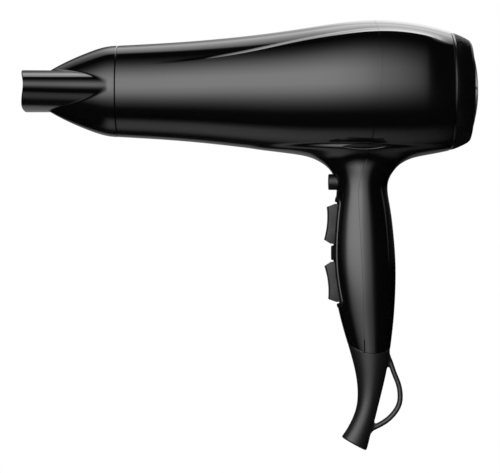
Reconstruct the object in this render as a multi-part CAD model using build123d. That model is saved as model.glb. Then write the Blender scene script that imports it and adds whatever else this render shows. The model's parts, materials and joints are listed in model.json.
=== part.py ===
"""Hand-held hair dryer with a turning concentrator, two rocker switches and a cool-shot button.

Millimetres. The origin is the middle of the grip, +Z is up and the air blows towards -X.
The barrel, the heater, the motor and the fan share one axis along X, at height AXIS_Z.
Barrel pieces are drawn round Axis.X and lifted by ON_AXIS.
"""
from build123d import *
import os
from math import atan2, cos, degrees, radians, sin, sqrt, tan

# ---- driving sizes ----------------------------------------------------------------------
AXIS_Z = 98.0             # barrel axis above the middle of the grip
REAR_SEAM_X = 51.0        # rear rim of the housing, where the filter cap starts
BODY_LENGTH = 198.5       # barrel mouth to rear rim
SHELL_SEAM_X = 5.0        # parting line of the two shells at the crown
MOUTH_R = 27.3            # outer radius of the barrel at its front rim
CROWN_HEIGHT = 42.5       # highest point of the housing above the axis
BELLY_DEPTH = 38.7        # lowest point of the housing below the axis
REAR_R = 35.1             # outer radius at the rear rim
LEDGE_STEP = 1.3          # how far the crown is let in below the side panels, at the rear
SHELL_WALL = 2.2
HANDLE_WALL = 2.4
HANDLE_BOTTOM = -55.0     # where the handle meets the cord relief
RELIEF_DROP = 62.6        # from there down to the lowest corner of the relief
GRIP_DEPTH = 37.8         # handle front to back at its widest
GRIP_WIDTH = 32.4         # handle side to side at its widest

NOZZLE_LENGTH = 54.1
NOZZLE_WIDTH = 64.0       # slot mouth, outside
NOZZLE_ROOT_WIDTH = 52.5  # slot tube where it leaves the dome
NOZZLE_HEIGHT = 23.8      # slot mouth, outside, at its middle
NOZZLE_ROOT_HEIGHT = 24.0
NOZZLE_WALL = 1.6
NOZZLE_TURN = -3.0        # how the slot stands at rest, about the barrel axis
LIP_BOW = 3.6             # the slot's lip bows forward by this much
SPIGOT_LENGTH = 8.0
SPIGOT_R = 22.3
SPIGOT_WALL = 1.5

CAP_LENGTH = 12.0         # rear filter cap, seam to rim
CAP_RIM_R = 29.9
CAP_WALL = 2.0
CAP_SLOTS = 90
GRILLE_RISE = 4.8         # dome of the rear grille above the cap's rim
GRILLE_BAR = 1.6

FAN_X = 3.0               # front edge of the impeller hub
FAN_HUB_R = 12.0
FAN_HUB_LENGTH = 15.0
FAN_BLADES = 8
MOTOR_R = 17.5
MOTOR_LENGTH = 40.0
MOTOR_REAR_X = -4.0
SHAFT_R = 1.6
HEATER_LENGTH = 83.0
COIL_TURNS = 9

SPEED_SWITCH_Z = 18.6
HEAT_SWITCH_Z = -16.2
BUTTON_Z = 43.7
ROCKER_LENGTH = 24.0      # at the handle's surface
ROCKER_TIP_LENGTH = 19.8
ROCKER_WIDTH = 12.0
ROCKER_PROUD = 4.2
ROCKER_DISH = 1.0         # hollow of the finger face
PIVOT_DEPTH = 7.5         # rocker pivot below the handle's surface
PIN_R = 1.0
BUTTON_R = 4.8
BUTTON_PROUD = 4.4
BUTTON_TRAVEL = 2.5
PANEL_WIDTH = 17.6
PANEL_THICK = 1.3
PANEL_TOP = 35.0
PANEL_BOTTOM = -32.0
CORD_BORE_R = 3.6
SCREW_R = 1.4

# ---- clearances -------------------------------------------------------------------------
SEAM_GAP = 0.3            # between two visible shells
FIT_GAP = 0.1             # round a piece that is fixed in another
SLIDE_GAP = 0.25          # round a piece that slides
RUN_GAP = 0.05            # shaft in a bush
DUCT_GAP = 2.0            # fan duct to housing
DUCT_SCREW_ROOM = 9.0     # crown of the housing to the fan duct, for the duct's screws
TIP_GAP = 0.7             # blade tip to fan duct
HEATER_GAP = 2.3          # heater tube to barrel

FRONT_X = REAR_SEAM_X - BODY_LENGTH
ON_AXIS = Pos(0, 0, AXIS_Z)
LOW = (Align.CENTER, Align.CENTER, Align.MIN)


# ---- helpers ----------------------------------------------------------------------------
def rod(x0, x1, r, y=0.0, z=0.0):
    """Cylinder along X."""
    return Pos(x0, y, z) * Rot(0, 90, 0) * Cylinder(r, x1 - x0, align=LOW)


def tube(x0, x1, r_out, r_in, y=0.0, z=0.0):
    return rod(x0, x1, r_out, y, z) - rod(x0 - 1, x1 + 1, r_in, y, z)


def block(x0, x1, y0, y1, z0, z1):
    return Pos(x0, y0, z0) * Box(x1 - x0, y1 - y0, z1 - z0, align=(Align.MIN,) * 3)


def on_x(x):
    """Sketch plane across the barrel: its first direction is Y, its second is Z."""
    return Plane(origin=(x, 0, 0), x_dir=(0, 1, 0), z_dir=(1, 0, 0))


def turned(shape, degrees_about_x):
    return Rot(degrees_about_x, 0, 0) * shape


def wire_tube(points, radius, bend=None):
    """Round wire through the points. Each corner's arc has radius bend, or what its runs allow."""
    points = [Vector(*p) for p in points]
    radii = []
    for before, at, after in zip(points, points[1:], points[2:]):
        turn = radians((at - before).get_angle(after - at))
        run = min((at - before).length, (after - at).length)
        radii.append(bend or 0.45 * run / tan(turn / 2))
    path = FilletPolyline(*points, radius=radii)
    return sweep(Plane(origin=path @ 0, z_dir=path % 0) * Circle(radius), path=path)


# ---- outer form -------------------------------------------------------------------------
BARREL_RUN = SHELL_SEAM_X - FRONT_X
REAR_RUN = REAR_SEAM_X - SHELL_SEAM_X


def barrel_station(run, crown_share, belly_share, ledge_at, ledge_share):
    """Section in front of the parting line. The shares say how far it has swelled out from the mouth."""
    top = MOUTH_R + crown_share * (CROWN_HEIGHT - MOUTH_R)
    bottom = MOUTH_R + belly_share * (BELLY_DEPTH - MOUTH_R)
    return (FRONT_X + run * BARREL_RUN, top, bottom, ledge_at, ledge_share)


# x, height above the axis, depth below it, how far down the side the ledge runs (0 crown, 1 axis)
BODY_STATIONS = [
    barrel_station(0.0, 0.0, 0.0, 0.49, 0.02),
    barrel_station(0.18, 0.072, 0.105, 0.49, 0.02),
    barrel_station(0.38, 0.237, 0.333, 0.44, 0.25),
    barrel_station(0.58, 0.474, 0.614, 0.36, 0.55),
    barrel_station(0.80, 0.809, 0.904, 0.28, 0.85),
    barrel_station(1.0, 1.0, 1.0, 0.245, 1.0),
    (
        SHELL_SEAM_X + 0.56 * REAR_RUN,
        CROWN_HEIGHT - 0.31 * (CROWN_HEIGHT - REAR_R),
        BELLY_DEPTH - 0.167 * (BELLY_DEPTH - REAR_R),
        0.24,
        1.0,
    ),
    (REAR_SEAM_X, REAR_R, REAR_R, 0.26, 0.5),
]
WAIST_DEPTH = BODY_STATIONS[3][2]


def body_section(x, top, bottom, ledge_at, ledge_share):
    """Closed outline across the body: one wide arc for sides and belly, a ledge on each side, a crown."""
    step = LEDGE_STEP * ledge_share
    side_top = top + step
    radius = (side_top + bottom) / 2
    centre = (side_top - bottom) / 2
    edge_z = side_top - ledge_at * side_top
    edge_y = sqrt(radius**2 - (edge_z - centre) ** 2)
    rise = 0.6 * step + 0.1
    inner_y = edge_y - 2.4 * rise
    inner_z = edge_z + rise
    side = ThreePointArc((edge_y, edge_z), (0, -bottom), (-edge_y, edge_z))
    left = Line((-edge_y, edge_z), (-inner_y, inner_z))
    crown = ThreePointArc((-inner_y, inner_z), (0, top), (inner_y, inner_z))
    right = Line((inner_y, inner_z), (edge_y, edge_z))
    return on_x(x) * make_face([side, left, crown, right])


def body_form():
    return loft([body_section(*station) for station in BODY_STATIONS])


def body_core(inset, overrun=0.0):
    """The body's plain round form, taken in by inset. Overrun lengthens it past both rims."""
    discs = []
    for x, top, bottom, _, _ in BODY_STATIONS:
        radius = (top + bottom) / 2 - inset
        discs.append(on_x(x) * Pos(0, (top - bottom) / 2) * Circle(radius))
    core = loft(discs)
    if overrun:
        core += rod(FRONT_X - overrun, FRONT_X, MOUTH_R - inset)
        core += rod(REAR_SEAM_X, REAR_SEAM_X + overrun, REAR_R - inset)
    return core


HALF_DEPTH = GRIP_DEPTH / 2
HALF_WIDTH = GRIP_WIDTH / 2
NECK_Z = AXIS_Z - BELLY_DEPTH - 19.3
GRIP_RUN = NECK_Z - HANDLE_BOTTOM
# centre x, height, tilt of the section, half front-to-back, half side-to-side
RELIEF_STATIONS = [
    (-6.3, HANDLE_BOTTOM - 0.93 * RELIEF_DROP, 29.2, 8.6, 6.4),
    (-0.15, HANDLE_BOTTOM - 0.68 * RELIEF_DROP, 22.0, 6.0, 6.2),
    (2.4, HANDLE_BOTTOM - 0.468 * RELIEF_DROP, 13.0, 6.5, 7.0),
    (3.3, HANDLE_BOTTOM - 0.238 * RELIEF_DROP, 6.0, 9.0, 9.0),
    (3.6, HANDLE_BOTTOM - 0.038 * RELIEF_DROP, 2.0, 11.75, 11.4),
]
GRIP_STATIONS = [
    (2.45, HANDLE_BOTTOM + 0.105 * GRIP_RUN, 0, HALF_DEPTH - 4.25, HALF_WIDTH - 2.7),
    (1.25, HANDLE_BOTTOM + 0.256 * GRIP_RUN, 0, HALF_DEPTH - 1.75, HALF_WIDTH - 1.2),
    (0.25, HANDLE_BOTTOM + 0.42 * GRIP_RUN, 0, HALF_DEPTH - 0.25, HALF_WIDTH - 0.3),
    (-0.5, HANDLE_BOTTOM + 0.61 * GRIP_RUN, 0, HALF_DEPTH, HALF_WIDTH),
    (-1.0, HANDLE_BOTTOM + 0.895 * GRIP_RUN, 0, HALF_DEPTH - 2.5, HALF_WIDTH - 0.8),
    (-1.2, NECK_Z, 0, HALF_DEPTH - 3.7, HALF_WIDTH - 1.2),
    (-1.3, NECK_Z + 7, 0, HALF_DEPTH - 2.05, HALF_WIDTH - 1.0),
    (-1.4, NECK_Z + 12, 0, HALF_DEPTH + 1.0, HALF_WIDTH - 0.3),
    (-1.5, NECK_Z + 16, 0, HALF_DEPTH + 6.1, HALF_WIDTH + 0.8),
    (-1.8, NECK_Z + 20, 0, HALF_DEPTH + 16.6, HALF_WIDTH + 2.8),
    (-2.0, NECK_Z + 24, 0, HALF_DEPTH + 25.6, HALF_WIDTH + 6.0),
    (-2.0, NECK_Z + 29, 0, HALF_DEPTH + 30.6, HALF_WIDTH + 10.0),
]


def stem_form(inset=0.0, stations=RELIEF_STATIONS + GRIP_STATIONS):
    """Handle and cord relief as one continuous form, taken in by inset."""
    sections = []
    for x, z, tilt, half_depth, half_width in stations:
        level = Pos(x, 0, z) * Rot(0, tilt, 0)
        sections.append(level * Ellipse(half_depth - inset, half_width - inset))
    return loft(sections)


def seam_tool(gap):
    """Everything in front of the parting line of the two shells, less gap."""
    top_z = AXIS_Z + CROWN_HEIGHT + 10
    line = [
        (SHELL_SEAM_X - 1.0, top_z),
        (SHELL_SEAM_X + 3.0, AXIS_Z + 0.35 * CROWN_HEIGHT),
        (SHELL_SEAM_X - 1.0, AXIS_Z - 0.6 * BELLY_DEPTH),
        (SHELL_SEAM_X - 4.5, AXIS_Z - BELLY_DEPTH - 2.3),
        (SHELL_SEAM_X - 8.4, NECK_Z + 3),
        (SHELL_SEAM_X - 9.0, NECK_Z - 34),
        (SHELL_SEAM_X - 6.6, HANDLE_BOTTOM + 34),
        (SHELL_SEAM_X - 4.8, HANDLE_BOTTOM - 20),
    ]
    line = [(x - gap / 2, z) for x, z in line]
    front = FRONT_X - 30
    edges = [
        Spline(*line),
        Polyline(line[-1], (front, line[-1][1]), (front, line[0][1]), line[0]),
    ]
    return extrude(Plane.XZ * make_face(edges), amount=80, both=True)


RELIEF_JOINT_R = 18.6


def relief_zone(gap):
    """Space of the cord relief: below a round saddle that follows the handle's lower edge."""
    saddle = Pos(0, 0, HANDLE_BOTTOM - RELIEF_JOINT_R) * Rot(0, -5.6, 0)
    top = saddle * Pos(-60, 0, 0) * Rot(0, 90, 0) * Cylinder(RELIEF_JOINT_R + gap, 120, align=LOW)
    below = block(-60, 60, -60, 60, HANDLE_BOTTOM - 120, HANDLE_BOTTOM - RELIEF_JOINT_R - 2)
    return top + below


def front_x(stem, z):
    """X of the handle's front face at height z."""
    return (stem & block(-60, 0, -0.5, 0.5, z - 0.05, z + 0.05)).bounding_box().min.X


def front_frame(stem, z, depth):
    """Frame on the handle's front: its +x points out of the handle and its +z runs up the surface."""
    rise = 8.0
    slope = degrees(atan2(front_x(stem, z + rise) - front_x(stem, z - rise), 2 * rise))
    surface = Pos(front_x(stem, z), 0, z) * Rot(0, slope, 0) * Rot(0, 0, 180)
    return surface * Pos(-depth, 0, 0)


# ---- handle fastening places ------------------------------------------------------------
UPPER_SCREW_Z = 33.0
LOWER_SCREW_Z = -33.0
CLAMP_Z = HANDLE_BOTTOM + 12.5
CLAMP_SCREW_Y = 6.0
CLAMP_X = 5.0
STUB_X = 3.0
STUB_R = 7.0
COLLAR_R = 9.0
BULKHEAD_Z = HANDLE_BOTTOM + 2.0
BULKHEAD = 2.5
COLLAR = 2.5
BOSS_R = 3.0
DUCT_SCREW_Y = 10.0
DUCT_SCREW_Z = CROWN_HEIGHT - 6.0
DUCT_BOSS_R = 2.4
FLANGE_X = SHELL_SEAM_X - 5.0
FLANGE = 2.5
SEAM_AT_GRIP = SHELL_SEAM_X - 8.6


CLAMP_POST_R = 2.3
CLAMP_SCREW_R = 1.1
SCREW_HEAD_R = 2.5
SCREW_SEAT = 5.5          # depth of the screw seats in the back of the handle
FLANGE_FRONT = -12.2      # front of the button's flange, behind the handle's wall
EAR_IN = 6.3
EAR_OUT = 7.5
SWITCH_DEPTH = 7.0
SWITCH_HALF = 9.0
COLLAR_FRONT_X = FRONT_X - 8.2
COLLAR_OUT_R = SPIGOT_R + 1.9
RING_DEPTH = 10.0
HEATER_R = MOUTH_R - SHELL_WALL - HEATER_GAP
HEATER_X = FRONT_X + 6.3
MICA = 0.6
BOARD_HALF = 15.5
COIL_WIRE_R = 0.6
CAN_WALL = 1.2
BUSH_R = 4.0
ROTOR_R = 11.0
SHAFT_END_X = FAN_X + FAN_HUB_LENGTH + 3.5
CLIP_X = FAN_X + FAN_HUB_LENGTH + 0.3
DUCT_R = min(BELLY_DEPTH - SHELL_WALL - DUCT_GAP - 1.0, CROWN_HEIGHT - DUCT_SCREW_ROOM)
DUCT_WALL = 1.6
DUCT_FRONT_X = MOTOR_REAR_X - MOTOR_LENGTH - 4
DUCT_REAR_X = FAN_X + FAN_HUB_LENGTH + 8
FAN_TIP_R = DUCT_R - DUCT_WALL - TIP_GAP
SKIRT = 5.0
SKIRT_R = REAR_R - SHELL_WALL - SLIDE_GAP
CAP_SLOT = 1.1
BORE_TILT = 22.0


def panel_zone(inset, depth):
    """Rounded column on the front of the handle that bounds the switch panel."""
    height = PANEL_TOP - PANEL_BOTTOM - 2 * inset
    outline = Plane.YZ * Pos(0, (PANEL_TOP + PANEL_BOTTOM) / 2) * RectangleRounded(
        PANEL_WIDTH - 2 * inset, height, 5.0 - inset
    )
    return Pos(-depth, 0, 0) * extrude(outline, amount=-60)


def rocker_window(frame):
    """Hole for a rocker, with room for its swing."""
    gap_z = 1.1
    gap_y = 0.4
    size_z = ROCKER_LENGTH + 2 * gap_z
    return frame * Box(5 * PIVOT_DEPTH, ROCKER_WIDTH + 2 * gap_y, size_z)


def lens_recess(side):
    """Shallow lens-shaped recess in the neck, on one side, with the shadow line that runs through it."""
    level = AXIS_Z - BELLY_DEPTH + 4.3
    half_length = 12.3
    half_height = 1.35
    bow = (half_length**2 - half_height**2) / (2 * half_height)
    lens = Pos(0, -bow) * Circle(bow + half_height) & Pos(0, bow) * Circle(bow + half_height)
    place = Pos(-1.4, side * (HALF_WIDTH + 8.8), level)
    return place * Rot(90, 0, 0) * extrude(lens, amount=4.0, both=True)


def back_x(stem, z):
    """X of the handle's rear face at height z."""
    return (stem & block(0, 60, -0.5, 0.5, z - 0.05, z + 0.05)).bounding_box().max.X


def shells(stem, windows):
    """Front and rear shell; each takes in half of the handle."""
    whole = ON_AXIS * body_form() + stem
    room = ON_AXIS * body_core(SHELL_WALL, overrun=6) + stem_form(HANDLE_WALL)
    bulkhead = stem_form(FIT_GAP) & block(-60, 60, -60, 60, BULKHEAD_Z, BULKHEAD_Z + BULKHEAD)
    bulkhead -= Pos(STUB_X, 0, BULKHEAD_Z - 1) * Cylinder(STUB_R + FIT_GAP, BULKHEAD + 2, align=LOW)
    shell = whole - room + bulkhead
    for side in (-1, 1):
        shell -= lens_recess(side)
    shell -= relief_zone(SEAM_GAP)
    front_space = seam_tool(SEAM_GAP)
    rear_space = seam_tool(-SEAM_GAP)
    front = shell & front_space
    rear = shell - rear_space
    front = add_front_posts(front, front_space)
    rear = add_rear_posts(rear, rear_space, stem)
    recess = stem_form(-1.5) - stem_form(PANEL_THICK + FIT_GAP)
    front -= recess & panel_zone(0.0, 0.0)
    for window in windows:
        front -= window
    front -= Pos(0, 0, BUTTON_Z) * rod(-40, -4, BUTTON_R + SLIDE_GAP)
    return front, rear


def add_front_posts(front, front_space):
    grip = stem_form(HANDLE_WALL / 2)
    for z in (UPPER_SCREW_Z, LOWER_SCREW_Z):
        front += rod(-60, 60, BOSS_R, 0, z) & grip & front_space
        front -= rod(SEAM_AT_GRIP - 9, 10, SCREW_R, 0, z)
    for side in (-1, 1):
        y = side * CLAMP_SCREW_Y
        front += rod(-40, CLAMP_X, CLAMP_POST_R, y, CLAMP_Z) & grip
        front -= rod(CLAMP_X - 8, CLAMP_X + 1, CLAMP_SCREW_R, y, CLAMP_Z)
        boss = rod(FLANGE_X - 18, FLANGE_X, DUCT_BOSS_R, side * DUCT_SCREW_Y, DUCT_SCREW_Z)
        boss &= body_core(SHELL_WALL / 2)
        boss -= rod(FLANGE_X - 10, 60, CLAMP_SCREW_R, side * DUCT_SCREW_Y, DUCT_SCREW_Z)
        front += ON_AXIS * boss
    return front


def add_rear_posts(rear, rear_space, stem):
    grip = stem_form(HANDLE_WALL / 2)
    for z in (UPPER_SCREW_Z, LOWER_SCREW_Z):
        rear += (rod(-60, 60, BOSS_R, 0, z) & grip) - rear_space
        rear -= rod(-30, 60, SCREW_R + FIT_GAP, 0, z)
        rear -= rod(back_x(stem, z) - SCREW_SEAT, 60, SCREW_HEAD_R + SLIDE_GAP, 0, z)
    return rear


# ---- switches ---------------------------------------------------------------------------
def rocker(frame):
    """Rocker in its surface frame: raised ends, a hollow finger face and a pivot bore across it."""
    half = ROCKER_LENGTH / 2
    tip = ROCKER_TIP_LENGTH / 2
    face = ThreePointArc((ROCKER_PROUD, tip), (ROCKER_PROUD - ROCKER_DISH, 0), (ROCKER_PROUD, -tip))
    lower = [(ROCKER_PROUD, -tip), (0, -half), (-3, -half), (-PIVOT_DEPTH - 2, -4)]
    upper = [(x, -z) for x, z in reversed(lower)]
    outline = Plane.XZ * make_face([face, Polyline(*lower, *upper)])
    key = extrude(outline, amount=ROCKER_WIDTH / 2, both=True)
    rims = key.edges().filter_by(Axis.Y, reverse=True).group_by(Axis.X)[-1]
    key = fillet(rims, 1.2)
    pivot = Pos(-PIVOT_DEPTH, 0, 0) * Rot(90, 0, 0) * Cylinder(PIN_R + RUN_GAP, ROCKER_WIDTH + 2)
    return frame * (key - pivot)


def rocker_pin(frame):
    return frame * Pos(-PIVOT_DEPTH, 0, 0) * Rot(90, 0, 0) * Cylinder(PIN_R, 2 * EAR_OUT + 0.4)


def switch_body(frame):
    """Box behind a rocker, inside the handle's wall, with two ears for its pin and three solder tags."""
    top = -PIVOT_DEPTH - 4.5
    body = block(top - SWITCH_DEPTH, top, -EAR_OUT, EAR_OUT, -SWITCH_HALF, SWITCH_HALF)
    for side in (-1, 1):
        y0, y1 = sorted((side * EAR_IN, side * EAR_OUT))
        body += block(top - 0.5, -PIVOT_DEPTH + 1.8, y0, y1, -2.4, 2.4)
    body -= Pos(-PIVOT_DEPTH, 0, 0) * Rot(90, 0, 0) * Cylinder(PIN_R + 0.02, 30)
    for z in (-6, 0, 6):
        body += block(top - SWITCH_DEPTH - 3, top - SWITCH_DEPTH, -1.2, 1.2, z - 0.4, z + 0.4)
    return (frame * body) & stem_form(HANDLE_WALL + FIT_GAP)


def cool_shot_button(stem):
    """Round key along X, with a flange that keeps it in the handle and a stem that works the switch."""
    face = front_x(stem, BUTTON_Z) - BUTTON_PROUD
    cap = rod(face, FLANGE_FRONT + 1, BUTTON_R)
    cap = fillet(cap.edges().group_by(Axis.X)[0], 0.7)
    flange = rod(FLANGE_FRONT, FLANGE_FRONT + 1.4, BUTTON_R + 1.2)
    return Pos(0, 0, BUTTON_Z) * (cap + flange + rod(FLANGE_FRONT, FLANGE_FRONT + 4.2, 2.0))


def cool_shot_switch():
    x0 = FLANGE_FRONT + 4.2 + BUTTON_TRAVEL + 0.5
    body = block(x0, x0 + 7, -5.5, 5.5, BUTTON_Z - 5, BUTTON_Z + 5)
    for y in (-3, 3):
        body += block(x0 + 7, x0 + 10, y - 0.4, y + 0.4, BUTTON_Z - 1.2, BUTTON_Z + 1.2)
    return body


def switch_panel(windows):
    plate = (stem_form(-0.4) - stem_form(PANEL_THICK)) & panel_zone(SLIDE_GAP, 0.0)
    for window in windows:
        plate -= window
    return plate


# ---- concentrator and outlet ------------------------------------------------------------
def dome_profile(inset):
    """Half outline of the nozzle's dome, from its seam to its nose."""
    seam = FRONT_X - SEAM_GAP
    points = [
        (seam, MOUTH_R - inset),
        (FRONT_X - 0.20 * NOZZLE_LENGTH, MOUTH_R - 1.8 - inset),
        (FRONT_X - 0.42 * NOZZLE_LENGTH, MOUTH_R - 5.9 - inset),
        (FRONT_X - 0.64 * NOZZLE_LENGTH, MOUTH_R - 11.6 - inset),
        (FRONT_X - 0.84 * NOZZLE_LENGTH, MOUTH_R - 18.6 - inset),
        (FRONT_X - 0.95 * NOZZLE_LENGTH, 1.4),
    ]
    edges = [Spline(*points), Polyline(points[-1], (points[-1][0], 0), (seam, 0), points[0])]
    return make_face(edges)


def slot_form(inset, overrun=0.0):
    """Flat flaring tube of the slot, oval in section."""
    root_x = FRONT_X - 0.12 * NOZZLE_LENGTH
    tip_x = FRONT_X - NOZZLE_LENGTH - 1.5 - overrun
    root = on_x(root_x) * Ellipse(NOZZLE_ROOT_WIDTH / 2 - inset, NOZZLE_ROOT_HEIGHT / 2 - inset)
    tip = on_x(tip_x) * Ellipse(NOZZLE_WIDTH / 2 - inset, NOZZLE_HEIGHT / 2 - inset)
    return loft([tip, root])


def concentrator():
    bow_r = (NOZZLE_WIDTH**2 / 4 + LIP_BOW**2) / (2 * LIP_BOW)
    lip = Pos(FRONT_X - NOZZLE_LENGTH - 2.4 + bow_r, 0, 0) * Cylinder(bow_r, 60)
    outer = revolve(dome_profile(0), Axis.X) + (slot_form(0) & lip)
    dome_room = revolve(dome_profile(NOZZLE_WALL), Axis.X) & rod(FRONT_X - 60, COLLAR_FRONT_X, 60)
    room = dome_room + slot_form(NOZZLE_WALL, 4) + rod(COLLAR_FRONT_X - 1, FRONT_X + 5, COLLAR_OUT_R + RUN_GAP)
    return ON_AXIS * turned(outer - room, NOZZLE_TURN)


def nozzle_collar():
    """Snap ring that holds the concentrator on the spigot and lets it turn."""
    return ON_AXIS * tube(COLLAR_FRONT_X + 0.4, FRONT_X - 0.6, COLLAR_OUT_R, SPIGOT_R + RUN_GAP)


def outlet_ring():
    """Spigot in front, a seat in the barrel's mouth and a socket for the heater tube behind."""
    front = tube(FRONT_X - SPIGOT_LENGTH, FRONT_X + 5, SPIGOT_R, SPIGOT_R - SPIGOT_WALL)
    seat = tube(FRONT_X + 0.3, FRONT_X + RING_DEPTH, MOUTH_R, SPIGOT_R - SPIGOT_WALL)
    seat &= body_core(SHELL_WALL + FIT_GAP)
    socket = rod(FRONT_X + 6, FRONT_X + RING_DEPTH + 1, HEATER_R + FIT_GAP)
    return ON_AXIS * (front + seat - socket)


def spoked_rings(x0, x1, radii, width, spokes, spoke_width):
    """Concentric rings joined by spokes."""
    grid = rod(x0, x1, radii[0] / 3)
    for radius in radii:
        grid += tube(x0, x1, radius, radius - width)
    reach = radii[-1] - width / 2
    for i in range(spokes):
        spoke = block(x0, x1, -spoke_width / 2, spoke_width / 2, 0, reach)
        grid += turned(spoke, 360 * i / spokes)
    return grid


def outlet_grille():
    edge = SPIGOT_R - SPIGOT_WALL - 0.05
    return ON_AXIS * spoked_rings(FRONT_X - 4, FRONT_X - 1, (edge - 12.6, edge - 6.3, edge), 1.3, 8, 1.2)


# ---- heater -----------------------------------------------------------------------------
def mica_tube():
    return ON_AXIS * tube(HEATER_X, HEATER_X + HEATER_LENGTH, HEATER_R, HEATER_R - MICA)


def heater_boards():
    """Two crossed boards, halved into each other; their ends are wide and locate them in the tube."""
    x0 = HEATER_X + 4
    x1 = HEATER_X + HEATER_LENGTH - 4
    middle = (x0 + x1) / 2
    half = MICA * 0.7
    wide = HEATER_R - MICA - FIT_GAP
    boards = []
    for turn, slot_x0, slot_x1 in ((0, x0 - 1, middle), (90, middle, x1 + 1)):
        board = block(x0, x1, -half, half, -BOARD_HALF, BOARD_HALF)
        board += block(x0, x0 + 4, -half, half, -wide, wide)
        board += block(x1 - 4, x1, -half, half, -wide, wide)
        board -= block(slot_x0, slot_x1, -5, 5, -half - 0.05, half + 0.05)
        boards.append(ON_AXIS * turned(board & rod(x0 - 1, x1 + 1, wide), 45 + turn))
    return boards


def heating_coils():
    """Resistance wire wound round the boards."""
    pitch = (HEATER_LENGTH - 24) / COIL_TURNS
    height = pitch * COIL_TURNS
    path = Helix(pitch, height, BOARD_HALF + COIL_WIRE_R + 0.15)
    section = Plane(origin=path @ 0, z_dir=path % 0) * Circle(COIL_WIRE_R)
    coil = sweep(section, path=path, is_frenet=True)
    return ON_AXIS * Pos(HEATER_X + 12, 0, 0) * Rot(0, 90, 0) * coil


def thermostat():
    """Bimetal cut-out on a small base between the boards."""
    x0 = HEATER_X + 16
    base = block(x0, x0 + 14, -4, 4, 4.9, 6.1)
    return ON_AXIS * (base + block(x0 + 1, x0 + 12, -2.2, 2.2, 6.1, 8.4) + rod(x0 + 3, x0 + 7, 1.2, 0, 9.0))


def thermal_fuse():
    x0 = HEATER_X + 40
    return ON_AXIS * (rod(x0, x0 + 11, 1.9, 0, 8) + rod(x0 - 8, x0 + 19, 0.5, 0, 8))


# ---- motor and fan ----------------------------------------------------------------------
def motor_can():
    front = MOTOR_REAR_X - MOTOR_LENGTH
    can = tube(front, MOTOR_REAR_X, MOTOR_R, MOTOR_R - CAN_WALL)
    can += tube(MOTOR_REAR_X - 1.5, MOTOR_REAR_X, MOTOR_R - 0.5, BUSH_R + FIT_GAP)
    can += tube(MOTOR_REAR_X - 1.5, MOTOR_REAR_X + 2, BUSH_R + 1.4, BUSH_R + FIT_GAP)
    for i in range(4):
        vent = Pos(0, 0, MOTOR_R) * block(MOTOR_REAR_X - 12, MOTOR_REAR_X - 5, -3, 3, -4, 4)
        can -= turned(vent, 45 + 90 * i)
    return ON_AXIS * can


def motor_end_cap():
    front = MOTOR_REAR_X - MOTOR_LENGTH
    cap = tube(front + 0.1, front + 3, MOTOR_R - CAN_WALL - FIT_GAP, BUSH_R + FIT_GAP)
    cap += tube(front - 2.5, front - 0.1, MOTOR_R - 0.5, BUSH_R + FIT_GAP)
    cap += tube(front - 0.5, front + 0.5, MOTOR_R - CAN_WALL - 0.5, BUSH_R + FIT_GAP)
    return ON_AXIS * cap


def motor_bushes():
    front = MOTOR_REAR_X - MOTOR_LENGTH
    rear_bush = tube(MOTOR_REAR_X - 2.5, MOTOR_REAR_X + 2, BUSH_R, SHAFT_R + RUN_GAP)
    front_bush = tube(front - 2.5, front + 2, BUSH_R, SHAFT_R + RUN_GAP)
    return [ON_AXIS * rear_bush, ON_AXIS * front_bush]


def motor_magnets():
    x0 = MOTOR_REAR_X - MOTOR_LENGTH + 8
    x1 = MOTOR_REAR_X - 13
    ring = tube(x0, x1, MOTOR_R - CAN_WALL - 0.05, ROTOR_R + 0.8)
    gap = block(x0 - 1, x1 + 1, -5, 5, -40, 40)
    return [ON_AXIS * piece for piece in (ring - gap).solids()]


def motor_rotor():
    """Laminated core with five slots, and the commutator."""
    x0 = MOTOR_REAR_X - MOTOR_LENGTH + 9
    x1 = MOTOR_REAR_X - 14
    core = rod(x0, x1, ROTOR_R)
    for i in range(5):
        core -= turned(block(x0 - 1, x1 + 1, -0.7, 0.7, ROTOR_R - 2, ROTOR_R + 1), 72 * i)
        core -= turned(block(x0 - 1, x1 + 1, -2, 2, ROTOR_R - 5, ROTOR_R - 2), 72 * i)
    core += rod(x0 - 4.5, x0, 4.5)
    return ON_AXIS * (core - rod(x0 - 9, x1 + 1, SHAFT_R + 0.01))


def motor_shaft():
    front = MOTOR_REAR_X - MOTOR_LENGTH - 3.5
    return ON_AXIS * (rod(front, SHAFT_END_X, SHAFT_R) - tube(CLIP_X, CLIP_X + 0.9, 5, SHAFT_R - 0.4))


def fan_clip():
    """Open ring in the groove of the shaft."""
    ring = tube(CLIP_X + 0.05, CLIP_X + 0.85, SHAFT_R + 1.8, SHAFT_R - 0.38)
    return ON_AXIS * (ring - block(CLIP_X - 1, CLIP_X + 2, -1.1, 1.1, 0.5, 9))


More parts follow.
